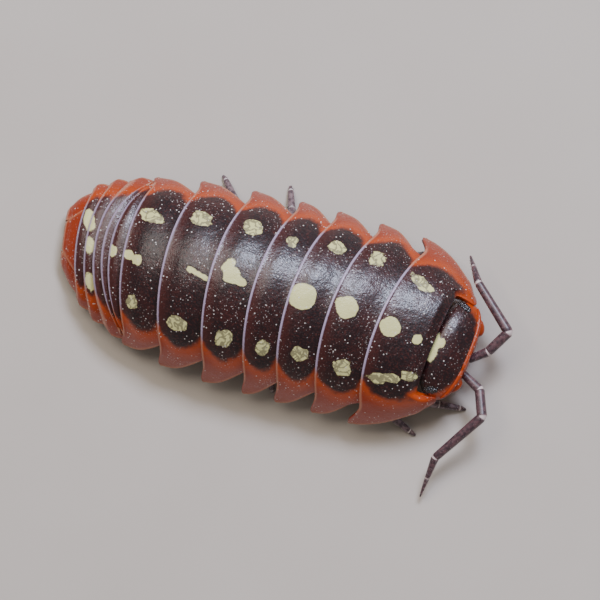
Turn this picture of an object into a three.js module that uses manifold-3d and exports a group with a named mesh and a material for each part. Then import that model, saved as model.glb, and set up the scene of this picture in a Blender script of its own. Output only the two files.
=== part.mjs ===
// A walking woodlouse of the pill-bug family, life size, in millimetres: +X towards the head, +Y its left, +Z up.
// Seven overlapping back plates, five tail plates, tail tip and tail feet arch over a soft trunk with fourteen legs.
// The body is modelled straight and then bent gently in plan, as the walking animal turns to its right.
import * as THREE from "three";
import { mergeVertices } from "three/addons/utils/BufferGeometryUtils.js";
import Module from "manifold-3d";

// Driving sizes of the whole animal.
const ARCH_ANGLE = THREE.MathUtils.degToRad(74); // how far round each cross-section arch runs, from the top to its rim
const PLATE = 0.3; // thickness of a back plate
const COLLAR = 0.2; // thickness of the front collar that slides under the plate ahead
const GAP = 0.14; // clear space between neighbouring pieces
const OVERLAP = 0.5; // how far a collar reaches under the plate ahead
const YAW = THREE.MathUtils.degToRad(-2.5); // heading of the middle of the body
const TURN_PER_MM = THREE.MathUtils.degToRad(-1.05); // heading change along the body
const STEADY_FROM = 5.2; // ahead of here the heading stays the same
const BOW = { front: -0.007, rear: 0.0045 }; // sideways bow of the two halves of the spine, per millimetre squared
const ORIGIN = { x: 0.395, y: -0.864 }; // centre of the floor under the whole model, in the body's own plan

// The shell's envelope at stations along the body: half-width, height of the back, height of the rims, and how square
// the arch is, where 1 is an ellipse and less is squarer.
const STATIONS = [
  { x: -9.25, w: 0.95, top: 0.72, rim: 0.5, square: 1 },
  { x: -8.97, w: 1.4, top: 0.98, rim: 0.52, square: 1 },
  { x: -8.44, w: 2.16, top: 1.5, rim: 0.56, square: 1 },
  { x: -7.97, w: 2.6, top: 1.9, rim: 0.6, square: 1 },
  { x: -7.13, w: 3.08, top: 2.5, rim: 0.65, square: 1 },
  { x: -6.13, w: 3.43, top: 3.05, rim: 0.7, square: 1 },
  { x: -4.31, w: 3.86, top: 3.68, rim: 0.74, square: 1 },
  { x: -2.27, w: 4.07, top: 4.06, rim: 0.76, square: 1 },
  { x: -0.39, w: 4.14, top: 4.2, rim: 0.76, square: 1 },
  { x: 1.11, w: 4.15, top: 4.2, rim: 0.76, square: 1 },
  { x: 2.84, w: 4.15, top: 4.1, rim: 0.76, square: 1 },
  { x: 4.84, w: 4.13, top: 3.85, rim: 0.78, square: 1 },
  { x: 6.2, w: 3.78, top: 3.55, rim: 0.84, square: 0.92 },
  { x: 7.3, w: 3.14, top: 3.22, rim: 0.95, square: 0.74 },
  { x: 8.1, w: 2.6, top: 3.02, rim: 1.08, square: 0.6 },
];

// Rear edges of the seven back plates, from the tail forward, where they cross the midline.
const BACK_REARS = [-6.13, -4.31, -2.27, -0.39, 1.11, 2.84, 4.84];
const FIRST_PLATE_FRONT = 7.2; // front edge of the first back plate, behind the head

// The five tail plates, from the front: rear edge, share of the arch that each spans, how far ahead of the midline its
// rear edge would lie at the rim, and how far its rear corners reach back from there.
const TAIL_PLATES = [
  { rear: -6.77, reach: 0.54, sweep: 1.35, tip: 0 },
  { rear: -7.13, reach: 0.57, sweep: 1.5, tip: 0.6 },
  { rear: -7.52, reach: 1, sweep: 1.25, tip: 0.6 },
  { rear: -7.97, reach: 1, sweep: 0.8, tip: 0.65 },
  { rear: -8.44, reach: 1, sweep: 0.5, tip: 0.7 },
];
const TAIL_PLATE = 0.2;
const TAIL_COLLAR = 0.14;
const TAIL_GAP = 0.11;
const TAIL_OVERLAP = 0.08;

// Smooth step from 0 to 1.
const smooth = (t) => {
  const c = THREE.MathUtils.clamp(t, 0, 1);
  return c * c * (3 - 2 * c);
};

// One envelope size at x, by a Catmull-Rom curve through the stations.
function stationValue(x, key) {
  const last = STATIONS.length - 1;
  let i = STATIONS.findIndex((s) => s.x > x) - 1;
  if (i < 0) i = x <= STATIONS[0].x ? 0 : last - 1;
  const [p0, p1, p2, p3] = [i - 1, i, i + 1, i + 2].map((k) => STATIONS[THREE.MathUtils.clamp(k, 0, last)]);
  const span = p2.x - p1.x;
  const t = (x - p1.x) / span;
  const slope = (a, b) => (b.x === a.x ? 0 : ((b[key] - a[key]) / (b.x - a.x)) * span);
  const m1 = slope(p0, p2);
  const m2 = slope(p1, p3);
  const t2 = t * t;
  const t3 = t2 * t;
  return (2 * t3 - 3 * t2 + 1) * p1[key] + (t3 - 2 * t2 + t) * m1 + (3 * t2 - 2 * t3) * p2[key] + (t3 - t2) * m2;
}

// A point on the envelope: a is -1 at the right rim, 0 on the back and 1 at the left rim.
function envelope(x, a) {
  const angle = a * ARCH_ANGLE;
  const w = stationValue(x, "w");
  const top = stationValue(x, "top");
  const rim = stationValue(x, "rim");
  const share = (Math.cos(angle) - Math.cos(ARCH_ANGLE)) / (1 - Math.cos(ARCH_ANGLE));
  const outward = Math.pow(Math.abs(Math.sin(angle) / Math.sin(ARCH_ANGLE)), stationValue(x, "square"));
  return new THREE.Vector3(x, Math.sign(a) * w * outward, rim + (top - rim) * share);
}

// The envelope's outward normal, by small differences.
function envelopeNormal(x, a) {
  const step = 0.01;
  const along = envelope(x + step, a).sub(envelope(x - step, a));
  const across = envelope(x, a + step).sub(envelope(x, a - step));
  return along.cross(across).normalize();
}

// A point at a depth under the envelope.
const underEnvelope = (x, a, depth) => envelope(x, a).addScaledVector(envelopeNormal(x, a), -depth);

// Bends a point of the straight body in plan and moves it to the model's origin.
function bend(p) {
  const heading = YAW + TURN_PER_MM * Math.min(p.x, STEADY_FROM);
  const bow = p.x > 0 ? BOW.front : BOW.rear;
  return new THREE.Vector3(
    p.x - p.y * Math.sin(heading) - ORIGIN.x,
    bow * p.x * p.x + p.y * Math.cos(heading) - ORIGIN.y,
    p.z,
  );
}

// A closed geometry from a function of (column, row) on an outer and an inner sheet, joined round their four borders.
function shellGeometry(columns, rows, outer, inner) {
  const points = [];
  const faces = [];
  const sheet = (pointAt) => {
    const base = points.length;
    for (let j = 0; j <= rows; j++) for (let i = 0; i <= columns; i++) points.push(pointAt(i / columns, j / rows));
    return (i, j) => base + j * (columns + 1) + i;
  };
  const top = sheet(outer);
  const under = sheet(inner);
  const quad = (a, b, c, d) => faces.push(a, b, c, a, c, d);
  for (let j = 0; j < rows; j++) {
    for (let i = 0; i < columns; i++) {
      quad(top(i, j), top(i, j + 1), top(i + 1, j + 1), top(i + 1, j));
      quad(under(i, j), under(i + 1, j), under(i + 1, j + 1), under(i, j + 1));
    }
    quad(top(0, j), under(0, j), under(0, j + 1), top(0, j + 1));
    quad(top(columns, j), top(columns, j + 1), under(columns, j + 1), under(columns, j));
  }
  for (let i = 0; i < columns; i++) {
    quad(top(i, 0), top(i + 1, 0), under(i + 1, 0), under(i, 0));
    quad(top(i, rows), under(i, rows), under(i + 1, rows), top(i + 1, rows));
  }
  return closedGeometry(points, faces);
}

// A closed geometry from rings of equal count, with a fan at each end.
function ringGeometry(rings) {
  const count = rings[0].length;
  const points = rings.flat();
  const faces = [];
  for (let r = 0; r + 1 < rings.length; r++) {
    for (let k = 0; k < count; k++) {
      const a = r * count + k;
      const b = r * count + ((k + 1) % count);
      faces.push(a, b, b + count, a, b + count, a + count);
    }
  }
  const ends = [rings[0], rings[rings.length - 1]];
  ends.forEach((ring, end) => {
    const centre = ring.reduce((sum, p) => sum.add(p), new THREE.Vector3()).divideScalar(count);
    const c = points.push(centre) - 1;
    const base = end ? (rings.length - 1) * count : 0;
    for (let k = 0; k < count; k++) {
      const a = base + k;
      const b = base + ((k + 1) % count);
      if (end) faces.push(c, a, b);
      else faces.push(c, b, a);
    }
  });
  return closedGeometry(points, faces);
}

// A BufferGeometry from points and triangles, turned right side out.
function closedGeometry(points, faces) {
  let volume = 0;
  for (let k = 0; k < faces.length; k += 3) {
    const [a, b, c] = [points[faces[k]], points[faces[k + 1]], points[faces[k + 2]]];
    volume += a.dot(b.clone().cross(c));
  }
  if (volume < 0) for (let k = 0; k < faces.length; k += 3) [faces[k + 1], faces[k + 2]] = [faces[k + 2], faces[k + 1]];
  const geometry = new THREE.BufferGeometry().setFromPoints(points);
  geometry.setIndex(faces);
  geometry.computeVertexNormals();
  return geometry;
}

// Materials, by the part of the animal that they colour.
const finish = (color, roughness) => new THREE.MeshStandardMaterial({ color, roughness, metalness: 0 });
const MATERIALS = {
  shell: finish("#3a2423", 0.35),
  rim: finish("#a8431f", 0.45),
  head: finish("#33242a", 0.4),
  eye: finish("#0b0b0d", 0.2),
  limb: finish("#5d4146", 0.45),
  flesh: finish("#8e7468", 0.6),
};

const animal = new THREE.Group();

// Adds a node, bending its geometry with the body unless it is placed already.
function addNode(name, geometry, material, bent = true) {
  if (bent) {
    const position = geometry.getAttribute("position");
    const p = new THREE.Vector3();
    for (let k = 0; k < position.count; k++) {
      const q = bend(p.fromBufferAttribute(position, k));
      position.setXYZ(k, q.x, q.y, q.z);
    }
    geometry.computeVertexNormals();
  }
  const mesh = new THREE.Mesh(geometry, MATERIALS[material]);
  mesh.name = name;
  animal.add(mesh);
}

// How far the rear corners of a plate reach back, as a share of its tip, at an arch share.
const tipShare = (arch) => Math.pow(smooth((Math.abs(arch) - 0.66) / 0.34), 1.5);

// An arched plate on the envelope. Its rear part lies on the envelope, and its front collar dips under the plate ahead.
// spec: rear and front at the midline; fromArch and toArch, the arch shares of its two sides; sweep and frontSweep, how
// far ahead of the midline the rear and front edges lie at the rim; tip and frontTip, how far back the rear corners of
// this plate and of the plate ahead reach; flank, extra length of the front edge at the rim; corner, the arch share
// that the front corners lose; tail, the share that the rear corners lose; and plate, collar, gap, overlap and dip.
function archedPlate(spec, columns) {
  const { rear, front, fromArch, toArch, sweep, frontSweep, tip, frontTip, flank } = spec;
  const { corner, tail, plate, collar, gap, overlap, dip } = spec;
  // Rows run from the rear edge to the front edge: each is a share of the bare stretch or of the tucked one.
  const bareRows = overlap > 0 ? [0, 0.1, 0.6, 1] : [0, 0.08, 0.3, 0.55, 0.8, 1];
  const tuckedRows = overlap > 0 ? [0, 1] : [];
  const rowCount = bareRows.length + tuckedRows.length - 1;
  const placed = (s, row, depth) => {
    const side = 2 * s - 1;
    const arch = (fromArch + toArch) / 2 + (side * (toArch - fromArch)) / 2;
    const aside = arch * arch;
    const start = rear + sweep * aside - tip * tipShare(arch);
    const forward = flank * smooth((Math.abs(arch) - 0.5) / 0.16);
    const end = front + frontSweep * aside - frontTip * tipShare(arch) + forward;
    const tuck = overlap > 0 ? end - overlap - gap : end;
    const bareEnd = overlap > 0 ? tuck - dip : end;
    const tucked = row - bareRows.length;
    const x =
      tucked < 0
        ? THREE.MathUtils.lerp(start, bareEnd, bareRows[row])
        : THREE.MathUtils.lerp(tuck, end, tuckedRows[tucked]);
    const t = (x - start) / (end - start);
    const lost = (corner * Math.pow(t, 1.5) + tail * Math.pow(1 - t, 2)) * Math.pow(side, 4);
    return underEnvelope(x, arch - (lost * side * (toArch - fromArch)) / 2, depth);
  };
  const depthAt = (row) => (row < bareRows.length ? 0 : plate + gap);
  const thickness = (s, row) => {
    const rimTaper = 1 - 0.45 * smooth((Math.abs(2 * s - 1) - 0.8) / 0.2);
    const rearTaper = row === 0 || (overlap === 0 && row > 2) ? 0.55 : 1;
    return (row < bareRows.length ? plate : collar) * Math.min(rimTaper, rearTaper);
  };
  const rowOf = (u) => Math.round(u * rowCount);
  return shellGeometry(
    columns,
    rowCount,
    (s, u) => placed(s, rowOf(u), depthAt(rowOf(u))),
    (s, u) => placed(s, rowOf(u), depthAt(rowOf(u)) + thickness(s, rowOf(u))),
  );
}

// The seven back plates, numbered from the head. The rear corners of the first two reach back furthest.
const TIPS = [0.45, 0.45, 0.45, 0.45, 0.45, 0.5, 0.8];
const BACK_PLATE = { fromArch: -1, toArch: 1, sweep: 0.8, frontSweep: 0.8, tail: 0, plate: PLATE, collar: COLLAR };
BACK_REARS.forEach((rear, k) => {
  const number = BACK_REARS.length - k;
  const shape =
    number === 1
      ? { front: FIRST_PLATE_FRONT, frontSweep: 0.12, frontTip: 0, flank: 0.8, corner: 0.2, overlap: 0 }
      : { front: BACK_REARS[k + 1] + OVERLAP, frontTip: TIPS[k + 1], flank: 0, corner: 0.36, overlap: OVERLAP };
  const spec = { ...BACK_PLATE, ...shape, rear, tip: TIPS[k], gap: GAP, dip: 0.3 };
  addNode(`back_plate_${number}`, archedPlate(spec, number === 1 ? 36 : 24), "shell");
});

// The five tail plates, numbered from the front. Only the last three reach down to the rim.
const TAIL_SHEET = { flank: 0, dip: 0.13, plate: TAIL_PLATE, collar: TAIL_COLLAR, overlap: TAIL_OVERLAP };
TAIL_PLATES.forEach(({ rear, reach, sweep, tip }, k) => {
  const shape = {
    rear,
    tip,
    front: (k ? TAIL_PLATES[k - 1].rear : BACK_REARS[0]) + TAIL_OVERLAP,
    fromArch: -reach,
    toArch: reach,
    sweep,
    frontSweep: k ? TAIL_PLATES[k - 1].sweep : BACK_PLATE.sweep,
    frontTip: k ? TAIL_PLATES[k - 1].tip : TIPS[0],
    corner: reach < 1 ? 0 : 0.1,
    tail: reach < 1 ? 0 : 0.04,
    gap: k ? TAIL_GAP : GAP + PLATE - TAIL_PLATE,
  };
  addNode(`tail_plate_${k + 1}`, archedPlate({ ...TAIL_SHEET, ...shape }, 18), "shell");
});

// The tail tip and the flat outer branch of each tail foot fill the space behind the last tail plate.
const LAST_PLATE = TAIL_PLATES[TAIL_PLATES.length - 1];
const TAIL_END = {
  ...TAIL_SHEET,
  front: LAST_PLATE.rear + TAIL_OVERLAP,
  sweep: 0,
  frontSweep: LAST_PLATE.sweep,
  tip: 0,
  frontTip: LAST_PLATE.tip,
  corner: 0,
  gap: TAIL_GAP,
};
const TAIL_TIP = { rear: -9.12, fromArch: -0.38, toArch: 0.38, tail: 0.4 };
const TAIL_FOOT = { rear: -9.14, nearArch: 0.46, farArch: 0.95, tail: 0.3 };
addNode("tail_tip", archedPlate({ ...TAIL_END, ...TAIL_TIP }, 6), "rim");
[-1, 1].forEach((side) => {
  const arches = [side * TAIL_FOOT.nearArch, side * TAIL_FOOT.farArch].sort((p, q) => p - q);
  const shape = { rear: TAIL_FOOT.rear, tail: TAIL_FOOT.tail, fromArch: arches[0], toArch: arches[1] };
  addNode(side > 0 ? "tail_foot_left" : "tail_foot_right", archedPlate({ ...TAIL_END, ...shape }, 6), "rim");
});

// The trunk: the soft body under the plates, flat below, with its legs' roots on its underside.
const TRUNK = { rear: -6.6, front: 6.55, sections: 18, archSteps: 12, reach: 0.66 };
const BELLY = [
  { x: -6.6, z: 1.15 },
  { x: -5.8, z: 1.42 },
  { x: 6.55, z: 1.42 },
];
// The belly's height at x, straight between its stations.
function bellyHeight(x) {
  const k = THREE.MathUtils.clamp(BELLY.findIndex((b) => b.x >= x), 1, BELLY.length - 1);
  return THREE.MathUtils.mapLinear(x, BELLY[k - 1].x, BELLY[k].x, BELLY[k - 1].z, BELLY[k].z);
}
const CLEAR_DEPTH = PLATE + COLLAR + 2.4 * GAP;
const TAIL_CLEAR_DEPTH = TAIL_PLATE + TAIL_COLLAR + 2 * TAIL_GAP;
function trunkRing(x) {
  const share = smooth((x + 7) / 0.6);
  const depth = THREE.MathUtils.lerp(TAIL_CLEAR_DEPTH, CLEAR_DEPTH, share);
  const floor = bellyHeight(x);
  const arch = [];
  for (let k = 0; k <= TRUNK.archSteps; k++) {
    const a = TRUNK.reach * (2 * (k / TRUNK.archSteps) - 1);
    const p = underEnvelope(x, a, depth);
    arch.push(new THREE.Vector3(x, p.y, Math.max(p.z, floor + 0.12)));
  }
  const halfWidth = arch[TRUNK.archSteps].y;
  const belly = [0.9, 0.45, -0.45, -0.9].map((share) => new THREE.Vector3(x, share * halfWidth, floor));
  return [...arch, ...belly];
}
const trunkRings = [];
for (let k = 0; k <= TRUNK.sections; k++) {
  trunkRings.push(trunkRing(THREE.MathUtils.lerp(TRUNK.rear, TRUNK.front, k / TRUNK.sections)));
}
addNode("trunk", ringGeometry(trunkRings), "flesh");

// Boolean joins and cuts for the few nodes that need them.
const wasm = await Module();
wasm.setup();
function solidOf(geometry) {
  const bare = geometry.clone();
  bare.deleteAttribute("normal");
  bare.deleteAttribute("uv");
  const merged = mergeVertices(bare, 1e-4);
  const vertProperties = new Float32Array(merged.attributes.position.array);
  const triVerts = new Uint32Array(merged.index.array);
  return new wasm.Manifold(new wasm.Mesh({ numProp: 3, vertProperties, triVerts }));
}
function geometryOf(solid) {
  const parts = solid.decompose().sort((p, q) => q.volume() - p.volume());
  const mesh = parts[0].getMesh();
  const geometry = new THREE.BufferGeometry();
  geometry.setAttribute("position", new THREE.BufferAttribute(new Float32Array(mesh.vertProperties), 3));
  geometry.setIndex(new THREE.BufferAttribute(new Uint32Array(mesh.triVerts), 1));
  geometry.computeVertexNormals();
  return geometry;
}

// The head: one profile in side view, carried across the animal and shrunk towards its two ends, where the eyes sit.
const HEAD = { halfWidth: 2.08, middle: { x: 7.76, z: 2.08 }, sections: 14, profileSteps: 18, endPower: 2.7 };
const HEAD_PROFILE = [
  [6.92, 1.2],
  [6.9, 2.42],
  [7.26, 2.82],
  [7.86, 2.8],
  [8.42, 2.5],
  [8.56, 2.3],
  [8.44, 2.12],
  [8.62, 1.7],
  [8.5, 1.15],
  [8.06, 0.8],
  [7.36, 0.85],
].map(([x, z]) => new THREE.Vector3(x, 0, z));
const headCurve = new THREE.CatmullRomCurve3(HEAD_PROFILE, true, "centripetal");
function headRing(share, size = 1) {
  const scale = size * Math.pow(1 - Math.pow(Math.abs(share), HEAD.endPower), 1 / 2.2);
  const ring = [];
  for (let k = 0; k < HEAD.profileSteps; k++) {
    const p = headCurve.getPointAt(k / HEAD.profileSteps);
    const drop = 0.28 * share * share;
    ring.push(
      new THREE.Vector3(
        HEAD.middle.x + (p.x - HEAD.middle.x) * scale,
        size * share * HEAD.halfWidth,
        HEAD.middle.z - drop + (p.z - HEAD.middle.z) * scale,
      ),
    );
  }
  return ring;
}
const headGeometry = (size) => {
  const rings = [];
  for (let k = 0; k <= HEAD.sections; k++) {
    const angle = THREE.MathUtils.lerp(-1, 1, k / HEAD.sections) * THREE.MathUtils.degToRad(86);
    rings.push(headRing(Math.sin(angle), size));
  }
  return ringGeometry(rings);
};
addNode("head", headGeometry(1), "head");

// The eyes: low domes of close-set lenses at the head's two upper corners.
const EYE = { x: 7.7, y: 1.72, z: 2.26, radii: [0.4, 0.25, 0.3], clearance: 1.08 };
[-1, 1].forEach((side) => {
  const dome = new THREE.SphereGeometry(1, 12, 8);
  dome.scale(...EYE.radii);
  dome.translate(EYE.x, side * EYE.y, EYE.z);
  const eye = geometryOf(solidOf(dome).subtract(solidOf(headGeometry(EYE.clearance))));
  addNode(side > 0 ? "eye_left" : "eye_right", eye, "eye");
});

// A closed tube of round rings along straight stretches, each ring square to the path or set flat.
// stops: point, radius and, where the ring is level, level: true.
function limbGeometry(stops, sides = 8) {
  const rings = stops.map(({ point, radius, level }, k) => {
    const before = stops[Math.max(k - 1, 0)].point;
    const after = stops[Math.min(k + 1, stops.length - 1)].point;
    const along = level ? new THREE.Vector3(0, 0, -1) : after.clone().sub(before).normalize();
    const side = new THREE.Vector3(along.y, -along.x, 0.001).cross(along).normalize();
    const other = along.clone().cross(side);
    const ring = [];
    for (let n = 0; n < sides; n++) {
      const turn = (2 * Math.PI * n) / sides;
      const offset = side.clone().multiplyScalar(Math.cos(turn)).addScaledVector(other, Math.sin(turn));
      ring.push(point.clone().addScaledVector(offset, radius));
    }
    return ring;
  });
  return ringGeometry(rings);
}

// Places a point of the plan that is already in its bent place, such as a feeler's joint.
const inPlace = ([x, y, z]) => new THREE.Vector3(x - ORIGIN.x, y - ORIGIN.y, z);

// The feelers: each a row of nearly straight lengths, from the face out to the tip.
const FEELERS = {
  left: [[8.94, -0.38, 1.66], [9.25, -0.08, 1.75], [9.88, 0.86, 2.0], [8.16, 2.52, 1.95], [7.44, 3.6, 1.15]],
  right: [[8.8, -1.28, 1.5], [9.28, -1.66, 1.6], [9.68, -2.72, 1.75], [8.16, -4.74, 1.1], [7.86, -6.4, 0.35]],
};
const FEELER_LENGTHS = ["stalk", "fourth_article", "fifth_article", "lash"];
const FEELER_STARTS = [0, 0.16, 0.42, 0.2];
const FEELER_RADII = [[0.24, 0.28], [0.25, 0.29], [0.25, 0.27], [0.25, 0.1]];
Object.entries(FEELERS).forEach(([side, joints]) => {
  FEELER_LENGTHS.forEach((length, k) => {
    const [from, to] = [inPlace(joints[k]), inPlace(joints[k + 1])];
    const along = to.clone().sub(from).normalize();
    const last = k === FEELER_LENGTHS.length - 1;
    const [thin, thick] = FEELER_RADII[k];
    const start = from.clone().addScaledVector(along, FEELER_STARTS[k]);
    const end = to.clone().addScaledVector(along, last ? 0 : -0.05);
    const stops = [0, 0.06, 0.5, 0.94, 1].map((t) => ({
      point: start.clone().lerp(end, t),
      radius: THREE.MathUtils.lerp(thin, thick, t) * (t === 0 || t === 1 ? 0.72 : 1),
    }));
    addNode(`feeler_${side}_${length}`, limbGeometry(stops), "limb", false);
  });
});

// The legs: root under the trunk, out to the knee under the plates' rims, and down to a small flat foot on the floor.
const LEG_ROOTS = [5.9, 3.85, 1.95, 0.3, -1.35, -3.3, -5.2];
const FEET = {
  left: [[7.7, 2.3], [5.1, 3.6], [2.3, 3.65], [-0.8, 4.7], [-3.4, 4.4], [-5.1, 3.2], [-7.0, 2.5]],
  right: [[9.0, 1.9], [7.5, 3.62], [3.6, 3.65], [1.1, 3.7], [-1.4, 3.65], [-4.0, 3.4], [-6.9, 2.5]],
};
const LEG = { rootY: 1.4, kneeY: 2.75, kneeZ: 1.24, radii: [0.27, 0.27, 0.25, 0.25, 0.24, 0.18, 0.14, 0.13] };
Object.entries(FEET).forEach(([side, feet]) => {
  const sign = side === "left" ? 1 : -1;
  feet.forEach(([footX, footY], k) => {
    const rootX = LEG_ROOTS[k];
    const width = stationValue(rootX, "w") / 4.06;
    const at = (share, y, z) => bend(new THREE.Vector3(THREE.MathUtils.lerp(rootX, footX, share), sign * y, z));
    const kneeY = Math.min(LEG.kneeY * width, Math.max(footY - 0.35, 2.35));
    const root = bellyHeight(rootX) - GAP;
    const rootY = LEG.rootY * width;
    const outward = (share) => THREE.MathUtils.lerp(kneeY, footY, share);
    const points = [
      at(0, rootY, root),
      at(0.02, rootY + 0.08, root - 0.2),
      at(0.14, THREE.MathUtils.lerp(rootY, kneeY, 0.5), root - 0.32),
      at(0.3, kneeY, LEG.kneeZ - 0.14),
      at(0.52, outward(0.28), 0.66),
      at(0.74, outward(0.6), 0.36),
      at(0.94, outward(0.93), 0.17),
      at(1, footY, 0),
    ];
    const stops = points.map((point, n) => ({ point, radius: LEG.radii[n], level: n === 0 || n === 7 }));
    addNode(`leg_${side}_${k + 1}`, limbGeometry(stops), "limb", false);
  });
});

// The gill covers: overlapping pairs of flat lobes under the tail.
const GILLS = { rows: 4, front: -6.35, step: 0.42, y: 0.5, z: 0.74, radii: [0.42, 0.6, 0.13], rise: 0.05 };
let gills = null;
for (let row = 0; row < GILLS.rows; row++) {
  for (const side of [-1, 1]) {
    const shrink = 1 - 0.1 * row;
    const lobe = new THREE.SphereGeometry(1, 10, 6);
    lobe.scale(GILLS.radii[0], GILLS.radii[1] * shrink, GILLS.radii[2]);
    lobe.translate(GILLS.front - row * GILLS.step, side * GILLS.y * shrink, GILLS.z - row * GILLS.rise);
    gills = gills ? gills.add(solidOf(lobe)) : solidOf(lobe);
  }
}
addNode("gill_covers", geometryOf(gills), "flesh");

export default animal;
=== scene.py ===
"""A life-size walking woodlouse with arched, spotted back plates, dressed over its solid model.

Shapes are worked out in millimetres: +X towards the head, +Y the animal's left, +Z up. The body is shaped
straight and then bent in plan, with the same formulas as the solid model, and every mesh is written in
metres.
"""

import logging
from dataclasses import dataclass, field
from enum import Enum, IntEnum
from typing import Callable, Optional, Sequence, Union

import bpy
import numpy as np
from mathutils import Matrix, Vector

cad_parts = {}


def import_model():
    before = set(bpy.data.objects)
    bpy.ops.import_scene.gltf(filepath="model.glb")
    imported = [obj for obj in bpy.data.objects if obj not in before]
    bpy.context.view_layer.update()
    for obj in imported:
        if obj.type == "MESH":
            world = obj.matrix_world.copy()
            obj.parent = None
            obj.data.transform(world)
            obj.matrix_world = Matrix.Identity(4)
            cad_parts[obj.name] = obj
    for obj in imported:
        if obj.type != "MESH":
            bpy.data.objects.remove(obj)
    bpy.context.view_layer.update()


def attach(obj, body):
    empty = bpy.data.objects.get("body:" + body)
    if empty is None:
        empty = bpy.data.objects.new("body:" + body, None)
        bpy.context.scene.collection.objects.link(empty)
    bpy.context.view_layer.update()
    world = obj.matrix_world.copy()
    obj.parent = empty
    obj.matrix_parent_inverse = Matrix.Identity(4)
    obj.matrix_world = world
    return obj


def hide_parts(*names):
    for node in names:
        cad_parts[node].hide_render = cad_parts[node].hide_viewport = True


log = logging.getLogger("woodlouse")

MM = 0.001
BODY = "root"
# How far round the arch its rims stand from the midline.
ARCH_ANGLE = np.radians(74.0)
# The bend in plan: the heading at the middle, its change for each millimetre forward, and where that stops.
YAW = np.radians(-2.5)
TURN_PER_MM = np.radians(-1.05)
STEADY_FROM = 5.2
# The sideways bow of the spine, per square millimetre, ahead of the middle and behind it.
FRONT_BOW = -0.007
REAR_BOW = 0.0045
# The place of the bent body that is moved to the model's origin.
ORIGIN = np.array([0.395, -0.864, 0.0])
UP = np.array([0.0, 0.0, 1.0])
# Nearly upright, but never along a limb's article.
NEARLY_UP = np.array([0.03, 0.05, 1.0])


class Slot(Enum):
    """The record's material slots."""

    SHELL = "shell"
    TAIL = "tail_shell"
    HEAD = "head_shell"
    EYE = "eye"
    FEELER = "feeler"
    LEG = "leg"
    FLESH = "flesh"


class Measure(IntEnum):
    """The columns of the shell envelope's table, after x."""

    WIDTH = 1
    TOP = 2
    RIM = 3
    SQUARE = 4


class Side(Enum):
    """The animal's two sides, with the sign of Y on each."""

    LEFT = 1
    RIGHT = -1

    @property
    def word(self) -> str:
        """The side's name in lower case."""
        return self.name.lower()


# Shared maths and mesh writing.


def smooth(t: np.ndarray) -> np.ndarray:
    """Smooth step from 0 to 1.

    Args:
        t: any values; below 0 gives 0 and above 1 gives 1.
    Returns:
        3t^2 - 2t^3 of the clipped values.
    """
    c = np.clip(t, 0.0, 1.0)
    return c * c * (3.0 - 2.0 * c)


def unit(v: np.ndarray) -> np.ndarray:
    """Vectors scaled to length 1 along the last axis."""
    return v / np.maximum(np.linalg.norm(v, axis=-1, keepdims=True), 1e-12)


def hermite(t: np.ndarray, p1: np.ndarray, m1: np.ndarray, p2: np.ndarray, m2: np.ndarray) -> np.ndarray:
    """A cubic from p1 to p2, whose slopes at the two are m1 and m2.

    Args:
        t: 0 at p1, 1 at p2.
        p1: the start.
        m1: the slope there.
        p2: the end.
        m2: the slope there.
    Returns:
        The values at t.
    """
    t2, t3 = t * t, t * t * t
    return (2 * t3 - 3 * t2 + 1) * p1 + (t3 - 2 * t2 + t) * m1 + (3 * t2 - 2 * t3) * p2 + (t3 - t2) * m2


def bend(points: np.ndarray) -> np.ndarray:
    """Bends straight-body points in plan and moves them to the model's origin.

    Each point swings sideways by the heading at its own x, and each half of the spine bows by a parabola.

    Args:
        points: array (..., 3) in millimetres.
    Returns:
        The same shape of array, in the model's frame.
    """
    x, y, z = points[..., 0], points[..., 1], points[..., 2]
    heading = YAW + TURN_PER_MM * np.minimum(x, STEADY_FROM)
    bow = np.where(x > 0, FRONT_BOW, REAR_BOW) * x * x
    placed = np.stack([x - y * np.sin(heading), bow + y * np.cos(heading), z], axis=-1)
    return placed - ORIGIN


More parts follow.
